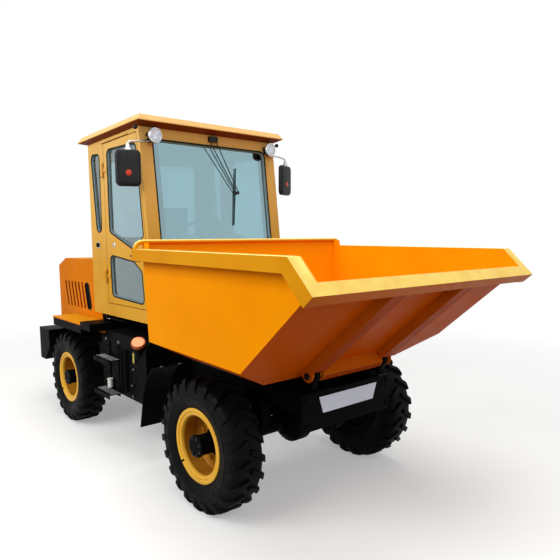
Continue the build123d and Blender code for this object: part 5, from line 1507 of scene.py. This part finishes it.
# ---------------------------------------------------------------- trim of the body and the gear
@dataclass
class HoodTrim:
    """The hood's louvre lips, the vent's edging and its slats. Sizes in millimetres."""

    shop: Workshop
    half: float = 590.0
    rear_x: float = -1895.0             # the first slot's upper rear corner
    pitch: float = 90.0
    count: int = 6
    lean: float = 65.0
    low: float = 1070.0
    high: float = 1330.0
    vent_x: float = -1366.0
    vent_width: float = 110.0
    slats: int = 10

    def build(self) -> None:
        """Builds both sides' trim."""
        for hand, side in SIDES:
            at = flank(self.half, side)
            # a pressed lip turns in from the slot's rear edge, coloured dark red as painted shade inside the
            # slot
            section = ((-1.2, 0.35), (1.2, 0.35), (2.2, -5.2), (9.5, -21.0), (8.2, -21.6), (0.3, -6.0),
                       (0.3, -0.2), (-1.2, -0.2))
            lip = lofted([[at(x + a, z, b) for a, b in section]
                          for x, z in ((self.rear_x, self.high), (self.rear_x + self.lean, self.low))])
            self.shop.row(f"louvre_lips_{hand}", lip, "louvre_slot_shade", Slot.HOOD, self.count,
                          (self.pitch * MM, 0.0, 0.0), body="hood")
            front = self.vent_x + self.vent_width
            corners = [(self.vent_x, self.high), (front, self.high), (front + self.lean, self.low),
                       (self.vent_x + self.lean, self.low)]
            section = [(-4.0, -5.5), (-4.0, 0.5), (-1.0, 2.4), (2.5, 2.0), (4.0, 0.3), (0.0, 0.3),
                       (0.0, -5.5)]
            edge = framed(round_corners(corners, 40.0, 8), section, at)
            self.shop.add(f"vent_edging_{hand}", edge, "seal", Slot.FRAME, body="hood")
            section = ((26.0, -5.8), (38.0, -5.8), (34.0, -1.0), (32.0, -1.0))
            slat = lofted([[at(x, self.low + a, b) for a, b in section]
                           for x in (self.vent_x + self.lean - 4.0, front + self.lean - 10.0)])
            self.shop.row(f"vent_slats_{hand}", slat, "frame", Slot.FRAME, self.slats, (-0.0052, 0.0, 0.0222),
                          width_mm=0.6, body="hood")


@dataclass
class TankTrim:
    """What sits on the side tanks: skids, covers, bolts, sight gauge, drain pipe, filter and cap. Metres."""

    shop: Workshop
    face: float = 0.750
    cap_root: Point = (0.015, -0.711, 0.813)
    cap_way: Point = (0.5, -0.35, 0.79)
    cap_rise: float = 0.200
    grips: int = 28
    cap_parts: tuple = (
        # name, finish, outline in millimetres
        ("face", "cap", ((0, -8), (48, -8), (50, -3), (47, -0.8), (30, 0.2), (0, 0.4))),
        ("rim", "cap_rim", ((44, -32), (53.5, -32), (55, -29), (55, -7), (53, -2), (50, -0.6), (48, -2),
                            (47, -9), (44, -10))),
        ("gasket", "seal", ((30, -38), (50, -38), (51, -34), (49, -31), (30, -31))),
    )

    def build(self) -> None:
        """Builds the fittings; the gauge, the pipe, the filter and the cap are on the right only."""
        add = self.shop.add
        for hand, side in SIDES:
            spots = [((x, side * self.face, 0.900), (0.0, side, 0.0)) for x in (-0.524, -0.291)]
            self.shop.bolts(f"tank_bolts_{hand}", spots, 25.0, 8.0, "dull", Slot.STEEL)
            section = ((0.745, 0.504), (0.745, 0.470), (0.728, 0.454), (0.420, 0.454), (0.420, 0.504))
            skid = lofted([[(x, side * y, z) for y, z in section] for x in (-0.604, 0.160)])
            add(f"tank_skid_{hand}", skid, "frame", Slot.FRAME, 4.0)
            inner, outer = sorted((side * 0.700, side * 0.748))
            bracket = slab((-0.690, inner, 0.650), (-0.606, outer, 0.850))
            add(f"tank_bracket_{hand}", bracket, "frame", Slot.FRAME, 6.0)
            for k, x in enumerate((-0.215, -0.150)):
                cover = lathe([(0, -170), (20, -170), (24, -162), (24, 162), (20, 170), (0, 170)], 28,
                              (0.0, 0.0, 1.0), (x, side * (self.face + 0.004), 0.690))
                add(f"tank_pipe_{hand}_{k}", cover, "frame", Slot.FRAME)
        out = -self.face
        gauge = slab((-0.029, out - 0.011, 0.772), (0.009, out, 0.868))
        add("sight_gauge_body", gauge, "console", Slot.CONSOLE, 5.0, 3)
        window = slab((-0.021, out - 0.013, 0.782), (0.001, out - 0.010, 0.858))
        add("sight_gauge_window", window, "gauge", Slot.CAP, 1.2)
        pipe = tube([(-0.031, out - 0.002, 0.720), (-0.031, out - 0.016, 0.700), (-0.044, out - 0.016, 0.600),
                     (-0.056, out - 0.016, 0.512), (-0.056, out - 0.002, 0.500)], 4.5, 12, 18.0)
        add("drain_pipe", pipe, "frame", Slot.STEEL)
        unions = ((-0.031, out, 0.722), (-0.056, out, 0.500), (-0.045, out - 0.010, 0.592))
        self.shop.bolts("pipe_unions", [(place, (0.0, -1.0, 0.0)) for place in unions], 17.0, 10.0, "dull",
                        Slot.STEEL)
        bowl = lathe([(0, 0), (19, 0), (22, 4), (22, 66), (25, 68), (25, 78), (0, 78)], 32, (0.0, 0.0, 1.0),
                     (-0.421, out - 0.028, 0.500))
        add("filter_bowl", bowl, "bowl", Slot.STEEL)
        self.cap()

    def cap(self) -> None:
        """The filler cap: a domed face, paler as painted highlight, in a ribbed rim darker as painted shade,
        with a black gasket under it.
        """
        way = Vector(self.cap_way).normalized()
        outer = Vector(self.cap_root) + way * self.cap_rise
        for name, key, outline in self.cap_parts:
            replaced = "filler_cap" if name == "face" else ""
            shape = lathe(outline, 64, tuple(way), tuple(outer))
            self.shop.add(f"filler_cap_{name}", shape, key, Slot.CAP, replaced=replaced)
        bars = []
        for k in range(self.grips):
            bar = slab((-0.0015, -0.010, -0.002), (0.0015, 0.010, 0.002))
            turn = Matrix.Rotation(2.0 * math.pi * k / self.grips, 4, "Y")
            bar.transform(turn @ Matrix.Translation((0.0545, 0.0, 0.0)))
            bars.append(bar)
        bars = faced(joined(*bars), tuple(way), tuple(outer - way * 0.019))
        self.shop.add("filler_cap_grips", bars, "cap_rim", Slot.CAP)


@dataclass
class StepTreads:
    """Raised chequer lozenges on the step treads, and the bolts of the straps. Metres."""

    shop: Workshop
    tops: tuple[float, float] = (0.480, 0.765)
    along: tuple[float, float] = (-0.560, -0.260)
    across: tuple[float, float] = (0.758, 0.858)
    pitch: float = 0.025
    turn: float = 45.0

    def build(self) -> None:
        """Builds the pattern on every tread."""
        step = self.pitch * 0.5
        columns = int((self.along[1] - self.along[0]) / self.pitch)
        lines = int((self.across[1] - self.across[0]) / step)
        for hand, side in SIDES:
            for k, top in enumerate(self.tops):
                line = joined(*[
                    self.lozenge((self.along[0] + step, side * (self.across[0] + step * n + 0.004), top),
                                 self.turn if n % 2 else -self.turn)
                    for n in range(lines)
                ])
                # the lozenges' pale grey is worn steel with painted glints
                self.shop.row(f"tread_{k}_{hand}", line, "tread", Slot.FRAME, columns, (self.pitch, 0.0, 0.0))
            places = [(x, side * self.across[0], z) for x in (-0.491, -0.321) for z in (0.850, 0.620)]
            spots = [(place, (0.0, side, 0.0)) for place in places]
            self.shop.bolts(f"strap_bolts_{hand}", spots, 21.0, 7.0, "frame", Slot.FRAME)

    @staticmethod
    def lozenge(place: Point, turn: float) -> Shape:
        """Makes one raised bar with pointed ends.

        Args:
            place: Its middle, in metres.
            turn: How far it is turned about +Z, in degrees.

        Returns:
            The bar.
        """
        base = [(-0.011, 0.0), (0.0, -0.0032), (0.011, 0.0), (0.0, 0.0032)]
        shape = lofted([[(x, y, -0.001) for x, y in base], [(0.72 * x, 0.6 * y, 0.0022) for x, y in base]])
        shape.transform(Matrix.Translation(place) @ Matrix.Rotation(math.radians(turn), 4, "Z"))
        return shape


@dataclass
class FrontTrim:
    """The skip's hinge pin ends, the front's bolts and screws, and the plate behind the front axle."""

    shop: Workshop
    fixings: tuple = (
        # name, places in metres, way, across the corners and height in mm, finish, slot
        ("front_panel_bolts", ((1.489, -0.385, 0.600), (1.489, -0.385, 0.765), (1.489, 0.385, 0.600),
                               (1.489, 0.385, 0.765)), (1.0, 0.0, 0.0), 24.0, 8.0, "frame", Slot.FRAME),
        ("plate_screws", ((1.493, -0.255, 0.750), (1.493, 0.255, 0.750), (1.493, -0.225, 0.672),
                          (1.493, 0.225, 0.672)), (1.0, 0.0, 0.0), 9.0, 2.5, "steel", Slot.STEEL),
        ("guard_bolts_l", ((0.530, 0.672, 0.8587), (0.530, 0.820, 0.8587)), (-0.239, 0.0, 0.971), 20.0, 7.0,
         "dull", Slot.STEEL),
        ("guard_bolts_r", ((0.530, -0.672, 0.8587), (0.530, -0.820, 0.8587)), (-0.239, 0.0, 0.971), 20.0, 7.0,
         "dull", Slot.STEEL),
    )

    def build(self) -> None:
        """Builds the trim."""
        pins = [((1.492, side * 0.389, 0.913), (0.0, side, 0.0)) for _, side in SIDES]
        self.shop.bolts("hinge_pin_ends", pins, 30.0, 9.0, "frame_worn", Slot.STEEL, "skip")
        for name, places, way, size, height, key, slot in self.fixings:
            self.shop.bolts(name, [(place, way) for place in places], size, height, key, slot)
        plate = slab((0.758, -0.520, 0.400), (0.764, 0.520, 0.660))
        self.shop.add("axle_guard_plate", plate, "frame", Slot.FRAME, 2.0)


# ---------------------------------------------------------------- seat
@dataclass(frozen=True)
class Pad:
    """One cushion's block, before it swells. Metres."""

    name: str
    low: Point
    high: Point
    axis: int                           # the axis of its thickness
    lean: float                         # how far its top stands back

    @property
    def middle(self) -> list[float]:
        """The block's middle."""
        return [(a + b) / 2.0 for a, b in zip(self.low, self.high)]

    @property
    def half(self) -> list[float]:
        """Half of its length along each axis."""
        return [(b - a) / 2.0 for a, b in zip(self.low, self.high)]

    def rise(self, height: float) -> float:
        """How far up the block a height is, one at its top."""
        return max(0.0, (height - self.low[2]) / (self.high[2] - self.low[2]))


@dataclass
class Seat:
    """The driver's seat: two padded vinyl cushions with sewn channels, swollen as cloth. Metres."""

    shop: Workshop
    pinch: float = 0.010                # how far a pad's sides pull in between its corners
    crown: float = 0.38                 # the share of its thickness that its edges lose
    voxel: float = 0.006
    pressure: float = 4.0
    frames: int = 20
    limit: float = 0.016
    fill: float = 0.6
    channel: float = 0.0055             # a channel's half-width
    channel_depth: float = 0.006
    smooth_below: float = math.radians(80.0)
    pads: tuple = (
        Pad("seat_pad", (-0.690, -0.222, 1.462), (-0.300, 0.222, 1.546), 2, 0.0),
        Pad("back_pad", (-0.700, -0.222, 1.580), (-0.622, 0.222, 2.062), 0, -0.040),
    )

    def build(self) -> None:
        """Builds both pads and what carries them."""
        for pad in self.pads:
            piece = self.cushion(pad)
            self.shop.place(piece, Slot.SEAT, replaced="seat_cushions" if pad.name == "seat_pad" else "")
        self.mount()

    def mount(self) -> None:
        """The rubber bellows round the seat's base, its slide rails and lever, and the back's two straps."""
        corners = [(-707.0, -201.0), (-345.0, -201.0), (-345.0, 201.0), (-707.0, 201.0)]
        outline = round_corners(corners, 12.0, 4)
        fold = framed(outline, [(-0.5, -11.0), (9.0, 0.0), (-0.5, 11.0)], self.base_point)
        self.shop.row("seat_bellows", fold, "guard", Slot.FRAME, 12, (0.0, 0.0, 0.023))
        for hand, side in SIDES:
            y = side * 0.160
            rail = slab((-0.690, y - 0.016, 1.446), (-0.330, y + 0.016, 1.464))
            self.shop.add(f"seat_rail_{hand}", rail, "dull", Slot.STEEL, 2.0)
            section = ((-0.004, -0.020), (0.004, -0.020), (0.004, 0.020), (-0.004, 0.020))
            strap = lofted([[(x + a, y + b, z) for a, b in section]
                            for x, z in ((-0.698, 1.450), (-0.704, 1.600), (-0.724, 1.860))])
            self.shop.add(f"back_strap_{hand}", strap, "frame", Slot.FRAME, 1.2)
        half = [(-0.340, -0.120, 1.455), (-0.312, -0.120, 1.455), (-0.300, -0.060, 1.455)]
        lever = tube(half + [(x, -y, z) for x, y, z in reversed(half)], 5.0, 12, 20.0)
        self.shop.add("seat_lever", lever, "dull", Slot.STEEL)

    @staticmethod
    def base_point(along: float, across: float, up: float) -> Point:
        """A point round the seat's base, from millimetres; the lowest fold's middle is its zero height."""
        return (along * MM, across * MM, 1.165 + up * MM)

    def cushion(self, pad: Pad) -> Piece:
        """One finished cushion: a crowned block whose sides pull in between its corners, then swollen.

        Args:
            pad: The cushion's block.

        Returns:
            The finished cushion.
        """
        axis, middle, half = pad.axis, pad.middle, pad.half
        flat = [a for a in range(3) if a != axis]
        shape = slab(pad.low, pad.high)
        bmesh.ops.subdivide_edges(shape, edges=shape.edges, cuts=9, use_grid_fill=True)
        for vertex in shape.verts:
            share = [(vertex.co[a] - middle[a]) / half[a] for a in range(3)]
            for a, b in (flat, flat[::-1]):
                edge = max(0.0, abs(share[a]) - 0.6) / 0.4
                vertex.co[a] -= math.copysign(self.pinch * edge * (1.0 - share[b] ** 2), share[a])
            crown = (1.0 - share[flat[0]] ** 4) * (1.0 - share[flat[1]] ** 4)
            thick = 1.0 - self.crown + self.crown * crown
            vertex.co[axis] = middle[axis] + share[axis] * half[axis] * thick
            vertex.co.x += pad.lean * pad.rise(vertex.co.z)
        piece = subdivided(finished(pad.name, shape, self.shop.palette["seat"], self.smooth_below), 2)
        self.swell(piece)
        self.sew(piece, pad)
        subdivided(piece, 1)
        piece.data.shade_smooth()
        return piece

    def swell(self, piece: Piece) -> None:
        """Remeshes the pad and fills it as cloth under pressure, with each point's way capped.

        Args:
            piece: The pad, which changes.
        """
        remesh = piece.modifiers.new("even", "REMESH")
        remesh.mode = "VOXEL"
        remesh.voxel_size = self.voxel
        baked(piece)
        start = [vertex.co.copy() for vertex in piece.data.vertices]
        cloth = piece.modifiers.new("filling", "CLOTH")
        cloth.settings.use_pressure = True
        cloth.settings.uniform_pressure_force = self.pressure
        cloth.settings.effector_weights.gravity = 0.0
        scene = bpy.context.scene
        for frame in range(1, self.frames + 1):
            scene.frame_set(frame)
        baked(piece)
        scene.frame_set(1)
        for vertex, first in zip(piece.data.vertices, start):
            way = vertex.co - first
            if way.length > self.limit:
                vertex.co = first + way.normalized() * self.limit

    def sew(self, piece: Piece, pad: Pad) -> None:
        """Presses the sewn channels into both faces of a pad: two along it and three across it.

        Args:
            piece: The pad's object, which changes.
            pad: Its block.
        """
        axis, middle, half = pad.axis, pad.middle, pad.half
        long = 2 - axis                     # the axis beside the thickness and the width
        end, edge = 0.80, 0.52              # where the outer channels run, as shares of the pad

        def pressed(share: float, line: float, length: float) -> float:
            """How deep a channel is at a share of a length, one on its line."""
            return math.exp(-((share - line) * length / self.channel) ** 2)

        for vertex in piece.data.vertices:
            point = [vertex.co.x - pad.lean * pad.rise(vertex.co.z), vertex.co.y, vertex.co.z]
            share = [(point[a] - middle[a]) / half[a] for a in range(3)]
            depth = 0.0
            if abs(share[long]) < end:
                depth = max(pressed(share[1], line, half[1]) for line in (-edge, edge))
            if abs(share[1]) < edge + 0.02:
                depth = max(depth, *(pressed(share[long], line, half[long]) for line in (-end, 0.0, end)))
            if abs(share[axis]) > 0.35:
                vertex.co[axis] -= math.copysign(self.channel_depth * depth, share[axis])


# ---------------------------------------------------------------- engine
@dataclass
class Engine:
    """The engine under the hood: block, head, covers, manifolds, fan, belt drive and filters. Metres."""

    shop: Workshop
    cylinders: int = 4
    pitch: float = 0.100
    first: float = -1.645
    fan_x: float = -1.742
    belt_x: float = -1.716
    fan_z: float = 0.860
    blades: int = 7
    ribs: int = 9

    def build(self) -> None:
        """Builds the engine inside the space that its CAD block keeps."""
        self.block()
        self.manifolds()
        self.front_end()
        self.filters()

    def put(self, name: str, shape: Shape, key: str = "engine", width: float = 0.0,
            replaced: str = "") -> None:
        """Places one casting or fitting."""
        self.shop.add(name, shape, key, Slot.ENGINE, width, replaced=replaced)

    @staticmethod
    def section(x: float, half: tuple) -> list[Point]:
        """A cross-section at x: the (y, z) points of its left half, and their mirror image."""
        return [(x, y, z) for y, z in half] + [(x, -y, z) for y, z in reversed(half)]

    def block(self) -> None:
        """The crankcase with its ribs, the sump, the head and the rocker cover with its bolts."""
        half = ((0.150, 0.700), (0.185, 0.760), (0.185, 0.900), (0.150, 0.930))
        shape = lofted([self.section(x, half) for x in (-1.700, -1.262)])
        self.put("engine_block", shape, "engine", 5.0, "engine")
        stations = ((-1.690, 0.640), (-1.450, 0.640), (-1.380, 0.602), (-1.280, 0.602))
        sump = lofted([self.section(x, ((0.140, 0.704), (0.120, low))) for x, low in stations])
        self.put("engine_sump", sump, "frame", 6.0)
        self.put("cylinder_head", slab((-1.690, -0.140, 0.930), (-1.275, 0.140, 1.030)), "engine", 4.0)
        half = ((0.100, 1.030), (0.096, 1.085), (0.060, 1.108))
        cover = lofted([self.section(x, half) for x in (-1.675, -1.290)])
        self.put("rocker_cover", cover, "frame_worn", 8.0)
        section = ((0.186, 0.770), (0.186, 0.890), (0.196, 0.885), (0.196, 0.775))
        for hand, side in SIDES:
            rib = lofted([[(x, side * y, z) for y, z in section] for x in (-1.690, -1.678)])
            self.shop.row(f"block_ribs_{hand}", rib, "engine", Slot.ENGINE, self.ribs, (0.051, 0.0, 0.0))
        places = [(x, side * 0.122, 1.030) for _, side in SIDES for x in (-1.66, -1.57, -1.48, -1.39, -1.30)]
        places += [(x, 0.0, 1.108) for x in (-1.64, -1.48, -1.32)]
        spots = [(place, (0.0, 0.0, 1.0)) for place in places]
        self.shop.bolts("head_bolts", spots, 18.0, 9.0, "dull", Slot.ENGINE)
        outline = [(0, 0), (26, 0), (26, 6), (31, 8), (31, 24), (27, 27), (0, 28)]
        self.put("oil_filler", lathe(outline, 32, (0, 0, 1), (-1.400, 0.0, 1.106)), "console")

    def manifolds(self) -> None:
        """Exhaust runners into their log and outlet on the left, intake log on the right."""
        for k in range(self.cylinders):
            x = self.first + self.pitch * k
            run = tube([(x, 0.138, 0.985), (x, 0.195, 0.985), (x + 0.02, 0.228, 0.965)], 17.0, 16, 30.0)
            self.put(f"exhaust_runner_{k}", run, "rust")
            port = slab((x - 0.022, -0.205, 0.960), (x + 0.022, -0.138, 1.006))
            self.put(f"intake_runner_{k}", port, "engine", 6.0)
        points = [(self.first - 0.02, 0.235, 0.960), (-1.30, 0.235, 0.960), (-1.262, 0.235, 0.900),
                  (-1.262, 0.235, 0.720)]
        self.put("exhaust_log", tube(points, 27.0, 24, 45.0), "rust")
        log = slab((self.first - 0.045, -0.245, 0.950), (-1.300, -0.200, 1.016))
        self.put("intake_log", log, "engine", 12.0)

    def front_end(self) -> None:
        """Fan, pulleys, belt and alternator at the engine's rear-facing end, and its flywheel housing."""
        hub = (self.fan_x, 0.0, self.fan_z)
        section = ((-0.013, -1.0), (0.011, 1.0), (0.014, 1.0), (-0.010, -1.0))
        blade = lofted([[(dx, w * y, r) for dx, y in section]
                        for r, w in ((0.045, 0.022), (0.110, 0.034), (0.188, 0.040))])
        self.shop.row("fan_blades", blade, "cap_rim", Slot.ENGINE, self.blades,
                      turn=(2.0 * math.pi / self.blades, 0.0, 0.0), centre=hub)
        outline = [(0, -14), (52, -14), (56, -8), (56, 14), (0, 14)]
        self.put("fan_hub", lathe(outline, 48, (-1.0, 0.0, 0.0), hub), "dull")
        for name, radius, groove, y, z in (
            ("fan_pulley", 70, 60, 0.0, self.fan_z),
            ("crank_pulley", 80, 68, 0.0, 0.715),
            ("alternator_pulley", 36, 28, 0.215, 0.830),
        ):
            outline = [(0, -12), (radius, -12), (radius, -8), (groove, 0), (radius, 8), (radius, 12), (0, 12)]
            self.put(name, lathe(outline, 48, (-1.0, 0.0, 0.0), (self.belt_x, y, z)), "dull")
        outline = [(0, -70), (44, -70), (54, -60), (56, -52), (56, 32), (52, 44), (40, 50), (0, 50)]
        self.put("alternator", lathe(outline, 40, (-1.0, 0.0, 0.0), (-1.650, 0.215, 0.830)), "dull")
        belt = [(0, 938), (20, 935), (240, 868), (255, 835), (240, 795), (60, 650), (0, 632), (-55, 648),
                (-83, 700), (-80, 740), (-76, 860), (-55, 915)]
        loop = framed(round_corners(belt, 20.0, 4), [(-8.0, -5.0), (-8.0, 5.0), (0.0, 6.0), (0.0, -6.0)],
                      self.belt_point)
        self.put("fan_belt", loop, "seal")
        outline = [(0, -28), (170, -28), (186, -10), (186, 26), (0, 26)]
        housing = lathe(outline, 64, (1.0, 0.0, 0.0), (-1.236, 0.0, 0.800))
        self.put("flywheel_housing", housing, "engine", 2.0)

    def belt_point(self, across: float, up: float, out: float) -> Point:
        """A point in the belt's plane, from millimetres, or that far out of it."""
        return (self.belt_x + out * MM, across * MM, up * MM)

    def filters(self) -> None:
        """Air cleaner and its hose above the intake, spin-on oil filter and fuel filter below it."""
        half = [(0, -130), (52, -130), (62, -122)]
        can = half + [(62, 60), (66, 62), (66, 72), (62, 74), (62, 122), (52, 130), (0, 130)]
        self.put("air_cleaner", lathe(can, 48, (1.0, 0.0, 0.0), (-1.560, -0.200, 1.082)), "console")
        points = [(-1.432, -0.200, 1.082), (-1.365, -0.200, 1.082), (-1.340, -0.222, 1.040),
                  (-1.340, -0.222, 1.000)]
        self.put("air_hose", tube(points, 24.0, 24, 35.0), "seal")
        outline = [(0, -58), (34, -58), (40, -50), (40, 44), (34, 50), (28, 52), (28, 62), (0, 62)]
        for name, x, key in (("oil_filter", -1.520, "mirror"), ("fuel_filter", -1.400, "bowl")):
            self.put(name, lathe(outline, 36, (0.0, 0.0, 1.0), (x, -0.238, 0.800)), key)
            bracket = slab((x - 0.030, -0.270, 0.858), (x + 0.030, -0.180, 0.876))
            self.put(f"{name}_bracket", bracket, "engine", 3.0)


# ---------------------------------------------------------------- studio
@dataclass(frozen=True)
class Camera:
    """The view: a camera at eye height off the skip's right-hand front corner."""

    place: Point = (3.6245, -2.5893, 1.7124)
    yaw: float = 143.336
    pitch: float = -7.068
    roll: float = -0.756
    lens_mm: float = 33.58
    sensor_mm: float = 36.0
    shift: tuple[float, float] = (0.1022, 0.0479)

    def build(self) -> None:
        """Makes the camera the scene's."""
        yaw, pitch, roll = (math.radians(a) for a in (self.yaw, self.pitch, self.roll))
        forward = Vector((math.cos(yaw) * math.cos(pitch), math.sin(yaw) * math.cos(pitch), math.sin(pitch)))
        level = forward.cross(Vector((0.0, 0.0, 1.0))).normalized()
        upright = level.cross(forward)
        right = level * math.cos(roll) + upright * math.sin(roll)
        up = upright * math.cos(roll) - level * math.sin(roll)
        data = bpy.data.cameras.new("camera")
        data.lens = self.lens_mm
        data.sensor_width = self.sensor_mm
        data.shift_x, data.shift_y = self.shift
        camera = bpy.data.objects.new("camera", data)
        turn = Matrix((right, up, -forward)).transposed().to_4x4()
        camera.matrix_world = Matrix.Translation(Vector(self.place)) @ turn
        bpy.context.scene.collection.objects.link(camera)
        bpy.context.scene.camera = camera


@dataclass(frozen=True)
class Studio:
    """A pale floor that runs out to white under large soft lamps."""

    floor_colour: str = "#F6F6F4"
    bounce_colour: str = "#8C8A86"
    floor_half: float = 60.0
    ambient: float = 0.42

    def build(self) -> None:
        """Builds the floor, the lamps and the world."""
        self.floor()
        self.lamp("key_lamp", (0.2, -6.5, 5.0), (0.0, 0.0, 1.2), 5.0, 430.0)
        self.lamp("top_lamp", (1.0, 0.5, 8.5), (0.5, 0.0, 0.0), 5.5, 420.0)
        self.lamp("front_lamp", (7.5, -1.5, 5.0), (0.0, 0.0, 1.6), 4.0, 120.0)
        self.world()

    @staticmethod
    def seen_share(tree: Tree) -> Socket:
        """One where the camera, a reflection or a look through glass meets the surface.

        Args:
            tree: The shader's tree.

        Returns:
            The share of the surface that is seen, not only lit by.
        """
        path = add_node(tree, "ShaderNodeLightPath")
        seen = path.outputs["Is Camera Ray"]
        for other in ("Is Glossy Ray", "Is Transmission Ray"):
            inputs = {0: seen, 1: path.outputs[other]}
            seen = result(tree, "ShaderNodeMath", {"operation": "MAXIMUM"}, inputs)
        return seen

    def floor(self) -> None:
        """The floor: seen pale, with the machine's shadow, and white further out."""
        s = Shader("pale_floor")
        seen = self.seen_share(s.tree)
        pale = s.mix(s.ramp(s.noise(900.0, 2.0), 0.3, 0.7), linear(self.floor_colour), linear("#F2F2F0"))
        colour = s.mix(seen, linear(self.bounce_colour), pale)
        flat = add_node(s.tree, "ShaderNodeVectorMath", {"operation": "LENGTH"}, {0: s.place}).outputs[1]
        glow = s.times(seen, s.ramp(flat, 2.2, 7.0, 0.30, 1.0))
        lit = add_node(s.tree, "ShaderNodeBsdfDiffuse", None, {"Color": colour})
        white = add_node(s.tree, "ShaderNodeEmission", None, {"Color": WHITE, "Strength": 1.0})
        inputs = {0: glow, 1: lit.outputs[0], 2: white.outputs[0]}
        mixed = add_node(s.tree, "ShaderNodeMixShader", None, inputs)
        add_node(s.tree, "ShaderNodeOutputMaterial", None, {"Surface": mixed.outputs[0]})
        shape = bmesh.new()
        bmesh.ops.create_circle(shape, cap_ends=True, radius=self.floor_half, segments=96)
        finished("floor", shape, s.material)

    def lamp(self, name: str, place: tuple, aim: tuple, size: float, watts: float) -> None:
        """A square soft lamp.

        Args:
            name: The lamp's name.
            place: Where it hangs.
            aim: The point that it faces.
            size: Its side, in metres.
            watts: Its power.
        """
        data = bpy.data.lights.new(name, "AREA")
        data.shape = "SQUARE"
        data.size = size
        data.energy = watts
        lamp = bpy.data.objects.new(name, data)
        lamp.location = place
        lamp.rotation_euler = (Vector(aim) - Vector(place)).to_track_quat("-Z", "Y").to_euler()
        bpy.context.scene.collection.objects.link(lamp)

    def world(self) -> None:
        """Even light all round, seen as a white backdrop."""
        world = bpy.data.worlds.new("studio")
        world.use_nodes = True
        tree = world.node_tree
        tree.nodes.clear()
        inputs = {0: self.seen_share(tree), 1: 0.0, 2: 1.0, 3: self.ambient, 4: 1.0}
        strength = result(tree, "ShaderNodeMapRange", None, inputs)
        light = add_node(tree, "ShaderNodeBackground", None, {"Color": WHITE, "Strength": strength})
        add_node(tree, "ShaderNodeOutputWorld", None, {"Surface": light.outputs[0]})
        bpy.context.scene.world = world


def main() -> None:
    """Builds the machine's looks and its studio in order."""
    logging.basicConfig(level=logging.INFO, format="%(message)s")
    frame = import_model()
    bpy.context.scene.view_settings.view_transform = "Standard"
    Camera().build()
    shop = Workshop(frame)
    face = CabFace()
    PlainPanels(shop).build()
    Seals(shop, face).build()
    Wiper(shop, face).build()
    Lamps(shop).build()
    Mirrors(shop).build()
    CabFittings(shop).build()
    HoodTrim(shop).build()
    TankTrim(shop).build()
    StepTreads(shop).build()
    FrontTrim(shop).build()
    Engine(shop).build()
    Seat(shop).build()
    for axle in ("front", "rear"):
        for hand, side in SIDES:
            Wheel(shop, axle, hand, side).build()
    Studio().build()


if __name__ == "__main__":
    main()
